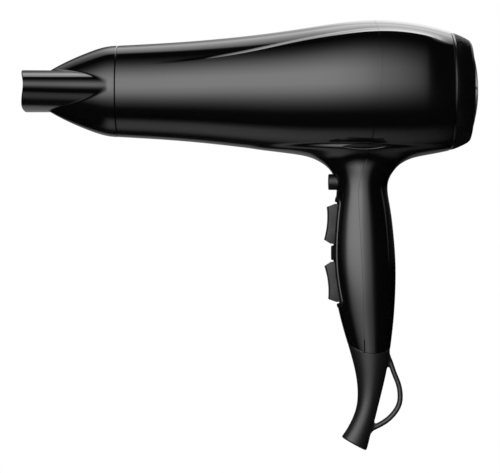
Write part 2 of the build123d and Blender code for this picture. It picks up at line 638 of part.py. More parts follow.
def fan_impeller():
    """Hub with a rounded nose towards the inlet, and twisted blades."""
    hub = rod(FAN_X, FAN_X + FAN_HUB_LENGTH, FAN_HUB_R)
    hub = fillet(hub.edges().group_by(Axis.X)[-1], 4)
    hub -= rod(FAN_X - 1, FAN_X + FAN_HUB_LENGTH - 4, FAN_HUB_R - 1.8) - rod(FAN_X - 2, FAN_X + 60, 3.6)
    middle = FAN_X + FAN_HUB_LENGTH / 2
    tip = FAN_TIP_R + 2
    root_plane = Plane(origin=(middle, 0, FAN_HUB_R - 1.2), x_dir=(1, 0, 0), z_dir=(0, 0, 1))
    tip_plane = Plane(origin=(middle, 0, tip), x_dir=(1, 0, 0), z_dir=(0, 0, 1))
    root = root_plane * Rot(0, 0, 40) * RectangleRounded(15, 1.8, 0.8)
    outer = tip_plane * Rot(0, 0, 62) * RectangleRounded(21, 1.4, 0.6)
    blade = loft([root, outer]) & rod(FAN_X + 0.5, FAN_X + FAN_HUB_LENGTH - 0.5, FAN_TIP_R)
    for i in range(FAN_BLADES):
        hub += turned(blade, 360 * i / FAN_BLADES)
    return ON_AXIS * (hub - rod(FAN_X - 5, FAN_X + 60, SHAFT_R + 0.01))


def duct_profile(inset):
    points = [(DUCT_FRONT_X, DUCT_R - 4.0), (-25, DUCT_R - 1.4), (SHELL_SEAM_X, DUCT_R), (DUCT_REAR_X, DUCT_R)]
    line = [(x, r - inset) for x, r in points]
    if inset:
        line[0] = (line[0][0] - 1, line[0][1])
        line[-1] = (line[-1][0] + 1, line[-1][1])
    return make_face(Polyline(*line, (line[-1][0], 0), (line[0][0], 0), line[0]))


def fan_duct():
    """Duct round the fan, with stator vanes that carry the motor and an ear for two screws."""
    duct = revolve(duct_profile(0), Axis.X) - revolve(duct_profile(DUCT_WALL), Axis.X)
    x0 = MOTOR_REAR_X - 22
    x1 = MOTOR_REAR_X - 4
    duct += tube(x0, x1, MOTOR_R + 2, MOTOR_R + FIT_GAP)
    for i in range(7):
        vane = block(x0, x1, -0.8, 0.8, MOTOR_R + 1, DUCT_R - 2.2)
        duct += turned(vane, 360 * (i + 0.5) / 7)
    ear = rod(FLANGE_X, FLANGE_X + FLANGE, 60) & body_core(SHELL_WALL + 0.5)
    ear -= rod(FLANGE_X - 1, FLANGE_X + 9, DUCT_R - 0.8)
    ear &= block(-20, 20, -DUCT_SCREW_Y - 3, DUCT_SCREW_Y + 3, 20, 60)
    for side in (-1, 1):
        ear -= rod(-20, 20, SCREW_R + FIT_GAP, side * DUCT_SCREW_Y, DUCT_SCREW_Z)
    return ON_AXIS * (duct + ear)


# ---- rear cap ---------------------------------------------------------------------------
def rear_filter_cap():
    """Cap with fine slots all round and a skirt that plugs into the housing."""
    x0 = REAR_SEAM_X + SEAM_GAP
    x1 = REAR_SEAM_X + CAP_LENGTH
    mid = ((x0 + x1) / 2, REAR_R - 0.38 * (REAR_R - CAP_RIM_R))
    outer = [ThreePointArc((x0, REAR_R), mid, (x1, CAP_RIM_R)), Polyline((x1, CAP_RIM_R), (x1, 0), (x0, 0), (x0, REAR_R))]
    room_arc = ThreePointArc((x0, REAR_R - CAP_WALL), (mid[0], mid[1] - CAP_WALL), (x1, CAP_RIM_R - CAP_WALL))
    room_line = Polyline((x1, CAP_RIM_R - CAP_WALL), (x1, 0), (x0, 0), (x0, REAR_R - CAP_WALL))
    cap = revolve(make_face(outer), Axis.X) - revolve(make_face([room_arc, room_line]), Axis.X)
    cap += tube(REAR_SEAM_X - SKIRT, x0 + 1.5, SKIRT_R, SKIRT_R - 1.5)
    cap += tube(x0, x0 + 1.5, REAR_R - 1, SKIRT_R - 1.5)
    slot = block(x0 + 2.2, x1 - 1.6, -CAP_SLOT / 2, CAP_SLOT / 2, 20, 50)
    cap -= [turned(slot, 360 * i / CAP_SLOTS) for i in range(CAP_SLOTS)]
    return ON_AXIS * cap


def rear_grille():
    """Shallow dome of concentric bars on spokes, inside the cap's rim."""
    edge = CAP_RIM_R - CAP_WALL - FIT_GAP
    seat = REAR_SEAM_X + CAP_LENGTH
    ball_r = (edge**2 + GRILLE_RISE**2) / (2 * GRILLE_RISE)
    centre = Pos(seat + GRILLE_RISE - ball_r, 0, 0)
    skin = centre * Sphere(ball_r) - centre * Sphere(ball_r - 1.8)
    radii = [edge - 5.2 * i for i in range(5)]
    bars = spoked_rings(seat - 3, seat + 9, radii[::-1], GRILLE_BAR, 8, GRILLE_BAR)
    return ON_AXIS * (skin & bars)


def filter_mesh():
    """Fine grid in a ring, held in the cap's skirt."""
    x0 = REAR_SEAM_X - SKIRT + 1
    edge = SKIRT_R - 1.5 - FIT_GAP
    grid = tube(x0, x0 + 1.6, edge, edge - 2)
    disc = rod(x0, x0 + 1.6, edge - 1)
    pitch = 5.0
    for i in range(-5, 6):
        grid += block(x0 + 0.4, x0 + 1.2, i * pitch - 0.4, i * pitch + 0.4, -40, 40) & disc
        grid += block(x0 + 0.4, x0 + 1.2, -40, 40, i * pitch - 0.4, i * pitch + 0.4) & disc
    return ON_AXIS * grid


# ---- cord end ---------------------------------------------------------------------------
def strain_relief():
    """Soft relief under the handle, with its hang loop, a neck through the bulkhead and the cord bore."""
    relief = stem_form() & relief_zone(0)
    relief += Pos(STUB_X, 0, HANDLE_BOTTOM - 3) * Cylinder(STUB_R, BULKHEAD_Z + BULKHEAD + 4 - HANDLE_BOTTOM, align=LOW)
    relief += Pos(STUB_X, 0, BULKHEAD_Z + BULKHEAD + 0.1) * Cylinder(COLLAR_R, COLLAR, align=LOW)
    relief += hang_loop()
    end_x, end_z, _, _, _ = RELIEF_STATIONS[0]
    run = (STUB_X - end_x) / sin(radians(BORE_TILT))
    lean = cos(radians(BORE_TILT))
    start = (end_x - 6 * sin(radians(BORE_TILT)), 0, end_z - 6 * lean)
    bend = (STUB_X, 0, end_z + run * lean)
    return relief - wire_tube([start, bend, (STUB_X, 0, BULKHEAD_Z + 15)], CORD_BORE_R, 20)


def hang_loop():
    z = HANDLE_BOTTOM
    points = [
        (13.0, 0, z - 4.0),
        (17.6, 0, z - 15.2),
        (20.9, 0, z - 24.0),
        (20.4, 0, z - 35.5),
        (14.0, 0, z - 44.0),
        (4.5, 0, z - 48.8),
    ]
    path = Spline(*points)
    start = Plane(origin=path @ 0, x_dir=(0, 1, 0), z_dir=path % 0)
    return sweep(start * RectangleRounded(5.0, 3.2, 1.4), path=path)


def cord_clamp():
    plate = block(CLAMP_X + 0.05, CLAMP_X + 4, -CLAMP_SCREW_Y - 2.6, CLAMP_SCREW_Y + 2.6, CLAMP_Z - 2.6, CLAMP_Z + 2.6)
    plate -= Pos(STUB_X, 0, CLAMP_Z) * Cylinder(CORD_BORE_R, 20)
    for side in (-1, 1):
        plate -= rod(0, 30, CLAMP_SCREW_R + 0.2, side * CLAMP_SCREW_Y, CLAMP_Z)
    return plate


def small_screw(x0, length, y, z):
    shank = rod(x0 - length, x0, CLAMP_SCREW_R - 0.02, y, z)
    head = rod(x0, x0 + 1.6, 2.1, y, z)
    return shank + head - block(x0 + 0.9, x0 + 3, y - 1.4, y + 1.4, z - 0.3, z + 0.3)


def clamp_screws():
    return [small_screw(CLAMP_X + 4.05, 9, side * CLAMP_SCREW_Y, CLAMP_Z) for side in (-1, 1)]


def duct_screws():
    x0 = FLANGE_X + FLANGE + 0.05
    return [ON_AXIS * small_screw(x0, 9, side * DUCT_SCREW_Y, DUCT_SCREW_Z) for side in (-1, 1)]


def handle_screws(stem):
    screws = []
    for z in (UPPER_SCREW_Z, LOWER_SCREW_Z):
        seat = back_x(stem, z) - SCREW_SEAT
        shank = rod(SEAM_AT_GRIP - 8, seat, SCREW_R - 0.02, 0, z)
        head = rod(seat + 0.05, seat + 2.0, SCREW_HEAD_R, 0, z)
        neck = rod(seat - 1, seat + 1, SCREW_R - 0.02, 0, z)
        drive = block(seat + 1.0, seat + 4, -0.35, 0.35, z - 1.7, z + 1.7)
        cross = block(seat + 1.0, seat + 4, -1.7, 1.7, z - 0.35, z + 0.35)
        screws.append(shank + neck + head - drive - cross)
    return screws


# ---- electrics in the handle ------------------------------------------------------------
def ion_module():
    z0 = HANDLE_BOTTOM + 0.368 * GRIP_RUN
    box = block(8.5, 14.5, -6, 6, z0, z0 + 24)
    return fillet(box.edges(), 0.8)


def capacitor():
    z0 = HANDLE_BOTTOM + 0.663 * GRIP_RUN
    return fillet(block(8.2, 12.6, -5, 5, z0, z0 + 16).edges(), 1.0)


# x, z and how widely the leads are spread
WIRE_RUN = [
    (4.0, BULKHEAD_Z + 14, 0.7),
    (6.0, LOWER_SCREW_Z, 1.0),
    (6.0, UPPER_SCREW_Z + 8, 1.0),
    (4.0, NECK_Z + 17, 1.0),
    (-14.0, NECK_Z + 23.2, 0.9),
    (-26.0, NECK_Z + 24.5, 0.9),
    (-53.0, AXIS_Z - WAIST_DEPTH + 3.7, 0.9),
    (-57.0, AXIS_Z - WAIST_DEPTH + 11.3, 0.8),
]


def wiring():
    """Leads from the cord end to the heater, up the back of the handle and under the fan duct."""
    wires = []
    for y in (-6.6, -4.7, 4.7):
        wires.append(wire_tube([(x, y * spread, z) for x, z, spread in WIRE_RUN], 0.75))
    return wires


def write(name, shape):
    parts = list(shape) if isinstance(shape, (list, tuple)) else [shape]
    solids = [solid for part in parts for solid in part.solids()]
    node = solids[0] if len(solids) == 1 else Compound(children=solids)
    node.label = name
    export_step(node, f"parts/{name}.step")


def main():
    os.makedirs("parts", exist_ok=True)
    stem = stem_form()
    speed = front_frame(stem, SPEED_SWITCH_Z, 0)
    heat = front_frame(stem, HEAT_SWITCH_Z, 0)
    windows = [rocker_window(speed), rocker_window(heat)]
    front, rear = shells(stem, windows)
    nodes = {
        "front_shell": front,
        "rear_shell": rear,
        "switch_panel": switch_panel(windows),
        "speed_rocker": rocker(speed),
        "heat_rocker": rocker(heat),
        "rocker_pins": [rocker_pin(speed), rocker_pin(heat)],
        "speed_switch_body": switch_body(speed),
        "heat_switch_body": switch_body(heat),
        "cool_shot_button": cool_shot_button(stem),
        "cool_shot_switch": cool_shot_switch(),
        "concentrator_nozzle": concentrator(),
        "nozzle_collar": nozzle_collar(),
        "outlet_ring": outlet_ring(),
        "outlet_grille": outlet_grille(),
        "mica_tube": mica_tube(),
        "heater_boards": heater_boards(),
        "heating_coils": heating_coils(),
        "thermostat": thermostat(),
        "thermal_fuse": thermal_fuse(),
        "motor_can": motor_can(),
        "motor_end_cap": motor_end_cap(),
        "motor_bushes": motor_bushes(),
        "motor_magnets": motor_magnets(),
        "motor_rotor": motor_rotor(),
        "motor_shaft": motor_shaft(),
        "fan_impeller": fan_impeller(),
        "fan_clip": fan_clip(),
        "fan_duct": fan_duct(),
        "rear_filter_cap": rear_filter_cap(),
        "rear_grille": rear_grille(),
        "filter_mesh": filter_mesh(),
        "strain_relief": strain_relief(),
        "cord_clamp": cord_clamp(),
        "clamp_screws": clamp_screws(),
        "handle_screws": handle_screws(stem),
        "duct_screws": duct_screws(),
        "ion_module": ion_module(),
        "capacitor": capacitor(),
        "wiring": wiring(),
    }
    for name, shape in nodes.items():
        write(name, shape)


if __name__ == "__main__":
    main()
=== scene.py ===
"""Looks of the hair dryer: gloss black shells, satin keys, soft relief, pale studio."""
import bmesh
import bpy
import json
import math
import numpy as np
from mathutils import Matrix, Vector


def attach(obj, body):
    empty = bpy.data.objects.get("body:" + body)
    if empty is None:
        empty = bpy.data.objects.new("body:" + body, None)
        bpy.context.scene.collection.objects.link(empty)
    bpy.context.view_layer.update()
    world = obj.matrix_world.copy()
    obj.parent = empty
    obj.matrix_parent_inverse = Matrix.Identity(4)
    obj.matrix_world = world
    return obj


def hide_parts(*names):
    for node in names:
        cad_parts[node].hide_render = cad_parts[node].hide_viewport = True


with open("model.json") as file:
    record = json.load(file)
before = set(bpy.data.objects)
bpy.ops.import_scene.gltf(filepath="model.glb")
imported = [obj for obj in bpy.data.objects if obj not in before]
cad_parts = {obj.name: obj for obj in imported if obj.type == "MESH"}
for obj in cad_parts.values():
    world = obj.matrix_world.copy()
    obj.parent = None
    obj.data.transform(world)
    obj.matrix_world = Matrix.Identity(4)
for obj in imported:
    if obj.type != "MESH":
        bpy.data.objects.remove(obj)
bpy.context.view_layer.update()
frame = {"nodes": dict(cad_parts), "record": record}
NODES = frame["nodes"]
MM = 0.001

# ---- sizes, in millimetres unless they say otherwise ------------------------------------
AXIS_Z = 98.0
MOUTH_X = -147.5
REAR_X = 51.0
SHELL_WALL = 2.2
VOXEL = 1.15
SPAN = 2.0                # longest edge of a voxel's triangles
FAR_OFF = 9.0             # value of a line's field where the line doesn't reach
NECK_BLEND = 2.4          # radius between the handle and the barrel
SEAM_SINK = 0.35          # how far a shell's edge is rounded over at a seam
LEDGE_SLOPE = 0.28        # depth of the ledge beside its width
FRONT_FACE_X = -4.0       # the keys and their panel lie in front of this
SPEED_Z = 18.6
HEAT_Z = -16.2
KEY_HOLE = (6.4, 13.0, 1.0)    # half width, half height, corner radius
BUTTON_Z = 43.7
BUTTON_HOLE_R = 5.1
PANEL_Z = 1.5
PANEL = (8.6, 33.3, 5.0)       # half width, half height, corner radius
LENS_X, LENS_Z = -1.5, 63.9
LENS_LENGTH, LENS_HEIGHT = 12.4, 1.5    # halves
NOZZLE_TURN = math.radians(-3.0)
FINE_VOXEL = 0.8
NOZZLE_WALL = 1.6
LIP_X = -204.0
LIP_BOW = 3.6             # the slot's lip bows forward by this much
LIP_HALF = 32.0
SADDLE_R = 18.6
SADDLE_Z = -55.0
SADDLE_LEAN = 0.098
RELIEF_WALL = 1.3
END_X, END_Z, END_TILT = -6.3, -113.3, math.radians(29.2)
BORE_R = 3.6
BORE_TILT = math.radians(22.0)
LOOP_R = 1.55
LOOP = [
    (12.0, -59.5), (15.0, -62.5), (17.8, -70.2), (20.6, -77.4),
    (21.7, -84.6), (20.1, -91.8), (13.4, -99.4), (3.5, -104.6),
]

BODY_X = [-170.0, -147.5, -98.4, -38.4, 4.0, 28.0, 51.0, 62.0]
BODY_TOP = [26.2, 27.3, 30.3, 37.3, 42.4, 40.9, 35.7, 32.0]
BODY_BOTTOM = [26.2, 27.3, 30.7, 37.0, 38.7, 38.3, 34.6, 31.2]
# height, front of the stem, rear of it, half its width
STEM = [
    (-128.0, -31.0, -6.0, 6.6),
    (-117.6, -21.0, 1.2, 6.5),
    (-109.2, -13.6, 3.6, 6.3),
    (-99.0, -7.4, 6.5, 6.2),
    (-91.8, -4.8, 8.3, 6.5),
    (-84.6, -3.9, 10.1, 7.1),
    (-70.2, -5.3, 13.4, 9.2),
    (-54.0, -9.6, 16.0, 11.5),
    (-37.8, -14.2, 17.8, 13.6),
    (-21.0, -17.5, 18.8, 15.5),
    (-6.0, -19.2, 18.9, 16.2),
    (12.0, -19.1, 17.7, 15.9),
    (30.0, -17.4, 15.4, 15.3),
    (39.0, -16.5, 14.1, 15.1),
    (45.0, -17.3, 14.8, 15.3),
    (51.0, -20.6, 18.3, 15.9),
    (57.0, -28.9, 26.4, 17.2),
    (60.0, -38.0, 36.0, 19.2),
    (62.0, -49.0, 46.0, 20.9),
    (64.0, -62.0, 56.0, 22.4),
    (69.0, -90.0, 80.0, 26.0),
]


# ---- curves and fields ------------------------------------------------------------------
def smooth_curve(xs, ys):
    """Natural cubic spline through the points, straight beyond both ends."""
    xs, ys = np.array(xs, float), np.array(ys, float)
    h = np.diff(xs)
    n = len(xs)
    a = np.eye(n)
    b = np.zeros(n)
    for i in range(1, n - 1):
        a[i, i - 1:i + 2] = h[i - 1], 2 * (h[i - 1] + h[i]), h[i]
        b[i] = 6 * ((ys[i + 1] - ys[i]) / h[i] - (ys[i] - ys[i - 1]) / h[i - 1])
    m = np.linalg.solve(a, b)

    def at(x):
        i = np.clip(np.searchsorted(xs, x) - 1, 0, n - 2)
        x = np.clip(x, xs[0], xs[-1])
        u, v = xs[i + 1] - x, x - xs[i]
        k = h[i]
        cubic = (m[i] * u**3 + m[i + 1] * v**3) / (6 * k)
        return cubic + (ys[i] / k - m[i] * k / 6) * u + (ys[i + 1] / k - m[i + 1] * k / 6) * v

    return at


def ramp(x, x0, x1):
    t = np.clip((x - x0) / (x1 - x0), 0, 1)
    return t * t * (3 - 2 * t)


def smooth_min(a, b, k):
    h = np.maximum(k - np.abs(a - b), 0) / k
    return np.minimum(a, b) - h * h * k / 4


body_top = smooth_curve(BODY_X, BODY_TOP)
body_bottom = smooth_curve(BODY_X, BODY_BOTTOM)
stem_front, stem_rear, stem_half = (
    smooth_curve([s[0] for s in STEM], [s[i] for s in STEM]) for i in (1, 2, 3)
)
# where the ledge runs, in degrees from the crown, and how wide its slanted face is
ledge_angle = smooth_curve(
    [-147.5, -120.0, -74.0, -38.0, -14.0, 10.0, 28.0, 51.0],
    [65, 61, 54, 45, 42.4, 41, 41.7, 45],
)
ledge_width = smooth_curve(
    [-147.5, -74.0, -38.0, -12.0, 12.0, 28.0, 51.0],
    [2.2, 3.1, 4.4, 6.0, 7.0, 6.8, 4.6],
)


def ledge_depth(x):
    return LEDGE_SLOPE * ledge_width(x) * ramp(x, -132, -72) * (1 - ramp(x, 34, 51))


def body_polar(p):
    """Distance from the axis, angle from the crown and the body's radius there."""
    top, bottom = body_top(p[:, 0]), body_bottom(p[:, 0])
    up = p[:, 2] - AXIS_Z
    reach = np.hypot(p[:, 1], up)
    rise = up / np.maximum(reach, 1e-6)
    radius = (top + bottom) / 2 + (top - bottom) / 2 * rise * np.abs(rise)
    return reach, np.arctan2(np.abs(p[:, 1]), up), radius


def above_ledge(p):
    """How far a point is above the ledge line, along the surface. Positive on the crown."""
    _, angle, radius = body_polar(p)
    return (np.radians(ledge_angle(p[:, 0])) - angle) * radius


def body_field(p):
    """Barrel. Its side panels stand proud of the crown by the ledge, and fade out towards the belly."""
    reach, angle, radius = body_polar(p)
    t = np.clip(above_ledge(p) / ledge_width(p[:, 0]), 0, 1)
    depth = ledge_depth(p[:, 0])
    proud = depth * (1 - ramp(angle, 0.85, 2.3))
    return reach - radius - proud + depth * (1 - (1 - t) ** 1.6)


def stem_field(p):
    """Handle and relief: an oval at each height."""
    z = p[:, 2]
    front, rear, half = stem_front(z), stem_rear(z), stem_half(z)
    depth = (rear - front) / 2
    q = np.sqrt(((p[:, 0] - (front + rear) / 2) / depth) ** 2 + (p[:, 1] / half) ** 2)
    return (q - 1) * np.minimum(depth, half)


def gradient(field, p, step=0.02):
    g = np.empty_like(p)
    for i in range(3):
        d = np.zeros(3)
        d[i] = step
        g[:, i] = (field(p + d) - field(p - d)) / (2 * step)
    return g


def true_distance(field, p):
    """A field scaled to millimetres near its surface."""
    f = field(p)
    return f / np.maximum(np.linalg.norm(gradient(field, p), axis=1), 0.2)


def dryer_field(p):
    """Barrel and handle in one. The handle fades out inside the barrel."""
    body, stem = true_distance(body_field, p), true_distance(stem_field, p)
    stem = stem + 200 * ramp(p[:, 2], 62.5, 110)
    return smooth_min(body, stem, NECK_BLEND)


def project(field, p, rounds):
    """Moves points onto a field's surface, at most 1.5 mm a round."""
    for _ in range(rounds):
        g = gradient(field, p)
        g2 = np.maximum((g * g).sum(1), 0.05)
        move = (field(p) / g2)[:, None] * g
        length = np.linalg.norm(move, axis=1, keepdims=True)
        p = p - move * np.minimum(1, 1.5 / np.maximum(length, 1e-9))
    return p


# ---- meshes -----------------------------------------------------------------------------
def link_object(name, data):
    obj = bpy.data.objects.new(name, data)
    bpy.context.scene.collection.objects.link(obj)
    return obj


def full_turn(steps):
    return np.linspace(0, 2 * math.pi, steps, endpoint=False)


def rings_mesh(rings):
    """Closed mesh through rings of points, capped at both ends."""
    n = len(rings[0])
    verts = [tuple(p) for ring in rings for p in ring]
    faces = []
    for j in range(len(rings) - 1):
        for i in range(n):
            a, b = j * n + i, j * n + (i + 1) % n
            faces.append((a, b, b + n, a + n))
    faces.append(tuple(range(n))[::-1])
    faces.append(tuple(range((len(rings) - 1) * n, len(rings) * n)))
    return verts, faces


def voxel_shape(parts, size):
    """One closed triangle mesh round overlapping closed parts, as point and triangle arrays."""
    bm = bmesh.new()
    for verts, faces in parts:
        made = [bm.verts.new(v) for v in verts]
        for f in faces:
            bm.faces.new([made[i] for i in f])
    bmesh.ops.recalc_face_normals(bm, faces=bm.faces)
    mesh = bpy.data.meshes.new("shape")
    bm.to_mesh(mesh)
    bm.free()
    obj = link_object("shape", mesh)
    remesh = obj.modifiers.new("remesh", "REMESH")
    remesh.mode = "VOXEL"
    remesh.voxel_size = size
    bpy.context.view_layer.update()
    done = bpy.data.meshes.new_from_object(obj.evaluated_get(bpy.context.evaluated_depsgraph_get()))
    bpy.data.objects.remove(obj)
    points = np.zeros(len(done.vertices) * 3)
    done.vertices.foreach_get("co", points)
    done.calc_loop_triangles()
    tris = np.zeros(len(done.loop_triangles) * 3, int)
    done.loop_triangles.foreach_get("vertices", tris)
    return points.reshape(-1, 3), tris.reshape(-1, 3)


def tri_edges(tris):
    return np.vstack([tris[:, [0, 1]], tris[:, [1, 2]], tris[:, [2, 0]]])


def settle(points, field, lines):
    """Moves points onto the surface and onto one or two lines on it."""
    for _ in range(5):
        points = project(field, points, 1)
        n = unit_normals(field, points)
        rows, values = [], []
        for line in lines:
            g = gradient(line, points)
            rows.append(g - (g * n).sum(1, keepdims=True) * n)
            values.append(line(points))
        a = np.stack(rows, axis=1)
        square = a @ a.transpose(0, 2, 1) + 1e-4 * np.eye(len(lines))
        step = np.linalg.solve(square, np.stack(values, axis=1)[:, :, None])
        move = (a.transpose(0, 2, 1) @ step)[:, :, 0]
        length = np.linalg.norm(move, axis=1, keepdims=True)
        points = points - move * np.minimum(1, 0.5 / np.maximum(length, 1e-9))
    return points


def snap(points, tris, lines, field):
    """Moves the nearest points onto each line, so that no edge crosses it."""
    edges = np.unique(np.sort(tri_edges(tris), axis=1), axis=0)
    on = np.full(len(points), -1)
    for number, line in enumerate(lines):
        value = line(points)
        value[np.abs(value) < 1e-4] = 0
        a, b = edges[:, 0], edges[:, 1]
        crossing = value[a] * value[b] < 0
        a, b = a[crossing], b[crossing]
        effort_a = np.abs(value[a]) + 0.4 * (on[a] >= 0)
        effort_b = np.abs(value[b]) + 0.4 * (on[b] >= 0)
        pick = np.unique(np.where(effort_a <= effort_b, a, b))
        pick = pick[np.abs(value[pick]) < 1.4 * SPAN]
        for other in range(-1, number):
            some = pick[on[pick] == other]
            if len(some):
                both = [line] if other < 0 else [line, lines[other]]
                points[some] = settle(points[some], field, both)
        on[pick] = number
    return points


def unit_normals(field, p, step=0.02):
    g = gradient(field, p, step)
    return g / np.maximum(np.linalg.norm(g, axis=1, keepdims=True), 1e-9)


def unit(v):
    return v / np.maximum(np.linalg.norm(v, axis=1, keepdims=True), 1e-12)


def quad_normals(quads):
    return unit(np.cross(quads[:, 1] - quads[:, 0], quads[:, 3] - quads[:, 0]))


def skin_object(name, points, tris, field, wall, lift=0.0, sink=SEAM_SINK):
    """Shell with a wall behind the given triangles: outer skin, inner skin and rim, with true normals.

    lift moves the outer skin out; sink is how far its edge is rounded over, one value or one per point.
    """
    used, flat = np.unique(tris, return_inverse=True)
    tris = flat.reshape(-1, 3)
    outer = points[used]
    n = unit_normals(field, outer)
    directed = tri_edges(tris)
    key = np.sort(directed, axis=1)
    _, first, count = np.unique(key, axis=0, return_index=True, return_counts=True)
    rim = directed[first[count == 1]]
    edge = np.unique(rim)
    size = len(outer)
    depth = sink(outer[edge])[:, None] if callable(sink) else sink
    shown = outer + n * lift
    dropped = shown[edge] - n[edge] * depth
    shown[edge] += rim_inward(outer, n, rim)[edge] * depth
    verts = np.vstack([shown, outer - n * wall, dropped])

    place = np.full(size, -1)
    place[edge] = np.arange(len(edge)) + 2 * size
    a, b = rim[:, 0], rim[:, 1]
    chamfer = np.column_stack([b, a, place[a], place[b]])
    side = np.column_stack([place[b], place[a], a + size, b + size])
    faces = [tuple(f) for block in (tris, tris[:, ::-1] + size, chamfer, side) for f in block]
    mesh = bpy.data.meshes.new(name)
    mesh.from_pydata([tuple(v) for v in verts * MM], [], faces)
    mesh.shade_smooth()

    corners = outer[tris]
    middle = corners.mean(axis=1, keepdims=True)
    probe = (corners * 0.9 + middle * 0.1).reshape(-1, 3)
    outer_n = unit_normals(field, probe, 0.004)
    inner_n = -outer_n.reshape(-1, 3, 3)[:, ::-1].reshape(-1, 3)
    chamfer_n = np.repeat(quad_normals(verts[chamfer])[:, None, :], 4, axis=1)
    chamfer_n[:, 0] += n[b]
    chamfer_n[:, 1] += n[a]
    side_n = np.repeat(quad_normals(verts[side]), 4, axis=0)
    normals = unit(np.vstack([outer_n, inner_n, chamfer_n.reshape(-1, 3), side_n]))
    mesh.normals_split_custom_set([tuple(v) for v in normals])
    return link_object(name, mesh)


def rim_inward(points, normals, rim):
    """Direction along the skin, square to its rim, that leads back into it. Evened out along the rim."""
    a, b = rim[:, 0], rim[:, 1]
    side = np.cross(normals[a], points[b] - points[a])
    for _ in range(4):
        total = np.zeros_like(points)
        np.add.at(total, a, side)
        np.add.at(total, b, side)
        total /= np.maximum(np.linalg.norm(total, axis=1, keepdims=True), 1e-9)
        side = total[a] + total[b]
    return total


# ---- lines on the dryer -----------------------------------------------------------------
seam_x = smooth_curve(
    [-80.0, -21.0, 28.0, 44.0, 57.0, 75.0, 113.0, 150.0],
    [0.2, -1.6, -4.0, -3.4, 0.5, 4.0, 8.0, 4.0],
)


def seam_line(p):
    return p[:, 0] - seam_x(p[:, 2])


def saddle_line(p):
    """Positive on the relief: below a round saddle across the handle."""
    middle = SADDLE_Z - SADDLE_R - SADDLE_LEAN * (p[:, 0] - 3)
    arch = np.sqrt(np.maximum(SADDLE_R**2 - p[:, 1] ** 2, 1.0))
    return middle + arch - p[:, 2]


def mouth_line(p):
    return MOUTH_X - p[:, 0]


def rear_line(p):
    return p[:, 0] - REAR_X


def lens_line(p):
    """Negative inside the lens-shaped recess on each side of the neck."""
    bow = (LENS_LENGTH**2 - LENS_HEIGHT**2) / (2 * LENS_HEIGHT)
    x, z = p[:, 0] - LENS_X, np.abs(p[:, 2] - LENS_Z)
    inside = np.hypot(x, z + bow) - (bow + LENS_HEIGHT)
    return np.where(np.abs(p[:, 1]) > 8, inside, FAR_OFF)


def rounded_box_line(y, z, half_y, half_z, r):
    """Negative inside a rectangle with rounded corners."""
    a, b = np.abs(y) - half_y + r, np.abs(z) - half_z + r
    return np.hypot(np.maximum(a, 0), np.maximum(b, 0)) + np.minimum(np.maximum(a, b), 0) - r


def panel_line(p):
    """Negative on the switch panel, on the front of the handle."""
    d = rounded_box_line(p[:, 1], p[:, 2] - PANEL_Z, *PANEL)
    return np.where(p[:, 0] < FRONT_FACE_X, d, FAR_OFF)


def key_line(p):
    """Negative inside the openings for the keys."""
    speed = rounded_box_line(p[:, 1], p[:, 2] - SPEED_Z, *KEY_HOLE)
    heat = rounded_box_line(p[:, 1], p[:, 2] - HEAT_Z, *KEY_HOLE)
    button = np.hypot(p[:, 1], p[:, 2] - BUTTON_Z) - BUTTON_HOLE_R
    d = np.minimum(np.minimum(speed, heat), button)
    return np.where(p[:, 0] < FRONT_FACE_X, d, FAR_OFF)


# ---- cord relief ------------------------------------------------------------------------
loop_x = smooth_curve(range(len(LOOP)), [p[0] for p in LOOP])
loop_z = smooth_curve(range(len(LOOP)), [p[1] for p in LOOP])
LOOP_AT = np.linspace(0, len(LOOP) - 1, 120)


def end_plane(p):
    """Positive beyond the slanted end of the relief."""
    return -((p[:, 0] - END_X) * math.sin(END_TILT) + (p[:, 2] - END_Z) * math.cos(END_TILT))


def loop_field(p):
    """Hang loop: a flat round-edged strap along the loop's line."""
    xs, zs = loop_x(LOOP_AT), loop_z(LOOP_AT)
    best = np.full(len(p), 1e9)
    for i in range(len(xs) - 1):
        dx, dz = xs[i + 1] - xs[i], zs[i + 1] - zs[i]
        t = np.clip(((p[:, 0] - xs[i]) * dx + (p[:, 2] - zs[i]) * dz) / (dx * dx + dz * dz), 0, 1)
        best = np.minimum(best, np.hypot(p[:, 0] - xs[i] - t * dx, p[:, 2] - zs[i] - t * dz))
    across = np.hypot(best, np.maximum(np.abs(p[:, 1]) - 1.0, 0))
    return across - LOOP_R


def relief_field(p):
    stem = true_distance(stem_field, p)
    body = -smooth_min(-stem, -end_plane(p), 1.2)
    return smooth_min(body, loop_field(p), 2.2)


def bore_line(p):
    """Negative inside the cord's bore, at the relief's end."""
    x, z = p[:, 0] - END_X, p[:, 2] - END_Z
    aside = x * math.cos(BORE_TILT) - z * math.sin(BORE_TILT)
    return np.where(end_plane(p) > -1.5, np.hypot(aside, p[:, 1]) - BORE_R, FAR_OFF)


def relief_rings():
    rings = []
    turn = full_turn(40)
    for z in np.linspace(END_Z, -50.0, 60):
        lean = math.tan(END_TILT) * (1 - float(ramp(z, END_Z, -92.0)))
        front, rear, half = float(stem_front(z)), float(stem_rear(z)), float(stem_half(z))
        x = (front + rear) / 2 + (rear - front) / 2 * np.cos(turn)
        rings.append(np.column_stack([x, half * np.sin(turn), z - lean * (x - END_X)]))
    return rings_mesh(rings)


def loop_rings():
    rings = []
    turn = full_turn(12)
    for at in LOOP_AT[::2]:
        x, z = float(loop_x(at)), float(loop_z(at))
        dx = float(loop_x(at + 0.01) - loop_x(at - 0.01))
        dz = float(loop_z(at + 0.01) - loop_z(at - 0.01))
        length = math.hypot(dx, dz)
        out = LOOP_R * np.cos(turn)
        rings.append(np.column_stack([x - out * dz / length, 2.5 * np.sin(turn), z + out * dx / length]))
    return rings_mesh(rings)


